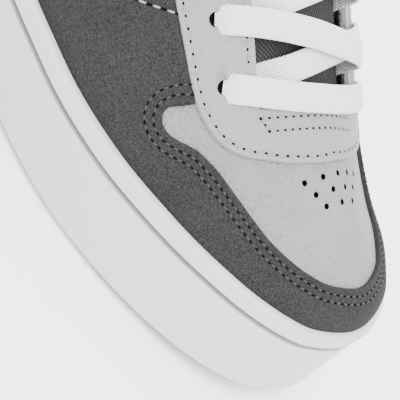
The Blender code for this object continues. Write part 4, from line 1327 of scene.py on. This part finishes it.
def strap(name, path, ups, widths):
    """A flat tube with soft edges swept along a path."""
    path, ups = np.array(path), np.array(ups)
    sides = 20
    step = np.linalg.norm(np.diff(path, axis=0), axis=1)
    run = np.concatenate([[0], np.cumsum(step)])
    points, chart = [], []
    for i, (spot, up, width) in enumerate(zip(path, ups, widths)):
        ahead = path[min(i + 1, len(path) - 1)] - path[max(i - 1, 0)]
        ahead /= np.linalg.norm(ahead)
        across = np.cross(up, ahead)
        across /= np.linalg.norm(across)
        up = np.cross(ahead, across)
        thick = LACE_THICK * (1 + 0.25 * (1 - width / LACE_WIDTH))
        for n in range(sides):
            turn = 2 * math.pi * n / sides
            c, s = math.cos(turn), math.sin(turn)
            a = width / 2 * abs(c) ** 0.55 * (1 if c >= 0 else -1)
            b = thick / 2 * abs(s) ** 0.85 * (1 if s >= 0 else -1)
            points.append(spot + across * a + up * b)
            chart.append((run[i], a))
    faces = lattice(len(path), sides)
    closing = [(i * sides + sides - 1, (i + 1) * sides + sides - 1, (i + 1) * sides, i * sides)
               for i in range(len(path) - 1)]
    caps = [tuple(range(sides)), tuple(len(points) - 1 - n for n in range(sides))]
    return piece(name, points, faces + closing + caps, [COTTON], "white_lace", chart=chart, sharp=80)


def strand(name, start, end, bow, marks, ends):
    """A strand that bows to the toe between two plan points; marks give its lift at distances along it."""
    stations = 100
    shares = np.linspace(0, 1, stations)
    line = np.array(start) + shares[:, None] * (np.array(end) - np.array(start))
    line[:, 0] += bow * (1 - (2 * shares - 1) ** 2)
    lift = np.interp(shares, *zip(*marks))
    kernel = np.array([1, 2, 3, 2, 1]) / 9
    for smooth in range(3):
        lift = np.convolve(np.pad(lift, 2, mode="edge"), kernel, mode="valid")
    around, rise = rib_at(line[:, 0], line[:, 1])
    widths = LACE_WIDTH * np.interp(shares, *zip(*ends))
    return strap(name, shell_point(around, rise, lift), normal_at(around, rise), widths)


BLUNT_END = ((0, 0.78), (0.007, 0.92), (0.016, 0.98), (0.03, 1.0))
OTHER_END = tuple((1 - share, width) for share, width in reversed(BLUNT_END))


def make_laces():
    lateral, medial = eyelet_places(-1), eyelet_places(1)
    half = LACE_THICK / 2
    on_stay = OVERLAY_GAP + OVERLAY + half + LACE_FIT
    in_hole = -0.0012
    in_throat = -UPPER_WALL * 0.2 + half
    under = -UPPER_WALL - half - 0.0004
    start = ((0.0, in_hole), (0.012, on_stay * 0.3), (0.03, on_stay + 0.0003))
    across = ((0.10, on_stay), (0.5, on_stay), (0.90, on_stay))
    end = ((0.97, on_stay + 0.0003), (0.988, on_stay * 0.3), (1.0, in_hole))
    far = (medial[0][0] - BAR_LEAN, medial[0][1])
    bar = strand("lace_strand_bar", lateral[0], far, BAR_BOW, start + across + end, BLUNT_END + OTHER_END)
    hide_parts("lace_bar")
    over = start + ((0.12, on_stay), (0.3, on_stay), (0.5, on_stay + 0.0010), (0.82, on_stay + 0.0022),
                    (0.90, on_stay + 0.0014), (0.95, 0.0), (0.98, under), (1.0, under - 0.0006))
    below = start + ((0.12, on_stay), (0.2, on_stay + 0.0004), (0.35, in_throat + 0.0010), (0.5, in_throat),
                     (0.78, in_throat), (0.90, under), (1.0, under - 0.0006))
    for k in range(EYELET_PAIRS - 1):
        name = "lace_strand_%d_" % (k + 1)
        behind_medial = (medial[k][0] - BEHIND_MEDIAL, THROAT_MEDIAL + CROSS_END)
        behind_lateral = (lateral[k][0] + BEFORE_LATERAL, -THROAT_LATERAL - CROSS_END)
        top = strand(name + "over", lateral[k + 1], behind_medial, OVER_BOW, over, BLUNT_END)
        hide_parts("lace_cross_%d" % (k + 1))
        strand(name + "under", medial[k + 1], behind_lateral, UNDER_BOW, below, BLUNT_END)


make_laces()

# Studio. A plain pale floor that runs out of view, two wide soft lights over the shoe and white surroundings.
# The camera is placed and turned as it was for the photo.


def make_floor():
    look = Shader("studio_floor", (0.93, 0.93, 0.93), 0.9, 0.1)
    look.colour(look.blend(look.noise(look.place(), 8.0), (0.93, 0.93, 0.93), (0.94, 0.94, 0.94)))
    mesh = bpy.data.meshes.new("studio_floor")
    mesh.from_pydata([(-6, -6, 0), (6, -6, 0), (6, 6, 0), (-6, 6, 0)], [], [(0, 1, 2, 3)])
    mesh.materials.append(look.material)
    floor = bpy.data.objects.new("studio_floor", mesh)
    bpy.context.scene.collection.objects.link(floor)


def make_light(name, place, aim, size, power):
    lamp = bpy.data.lights.new(name, "AREA")
    lamp.shape = "RECTANGLE"
    lamp.size, lamp.size_y = size
    lamp.energy = power
    holder = bpy.data.objects.new(name, lamp)
    bpy.context.scene.collection.objects.link(holder)
    holder.location = place
    holder.rotation_euler = (Vector(aim) - Vector(place)).to_track_quat("-Z", "Y").to_euler()


def make_world(strength):
    world = bpy.data.worlds.new("white_studio")
    bpy.context.scene.world = world
    world.use_nodes = True
    shade = world.node_tree.nodes["Background"]
    shade.inputs["Color"].default_value = (1.0, 1.0, 1.0, 1.0)
    shade.inputs["Strength"].default_value = strength


def make_camera():
    """Close on the lateral forefoot from above, rolled so that the toe points down to the right."""
    eye = Vector((0.17764, -0.44502, 0.34367))
    aim = Vector((0.09644, -0.02487, 0.030))
    roll_angle = math.radians(55.217)
    look = (aim - eye).normalized()
    level = look.cross(Vector((0, 0, 1))).normalized()
    rise = level.cross(look)
    right = level * math.cos(roll_angle) + rise * math.sin(roll_angle)
    up = look.cross(right) * -1
    lens = bpy.data.cameras.new("photo_camera")
    lens.sensor_width = 36.0
    lens.lens = 173.78
    lens.clip_start = 0.01
    camera = bpy.data.objects.new("photo_camera", lens)
    bpy.context.scene.collection.objects.link(camera)
    turn = Matrix((right, up, -look)).transposed().to_4x4()
    camera.matrix_world = Matrix.Translation(eye) @ turn
    bpy.context.scene.camera = camera


make_floor()
make_world(2.9)
make_light("key_light", (0.5, -0.6, 1.4), (0.05, 0, 0.03), (1.2, 1.2), 53.0)
make_light("fill_light", (-0.6, 0.9, 1.2), (0.05, 0, 0.03), (1.4, 1.0), 22.0)
make_camera()
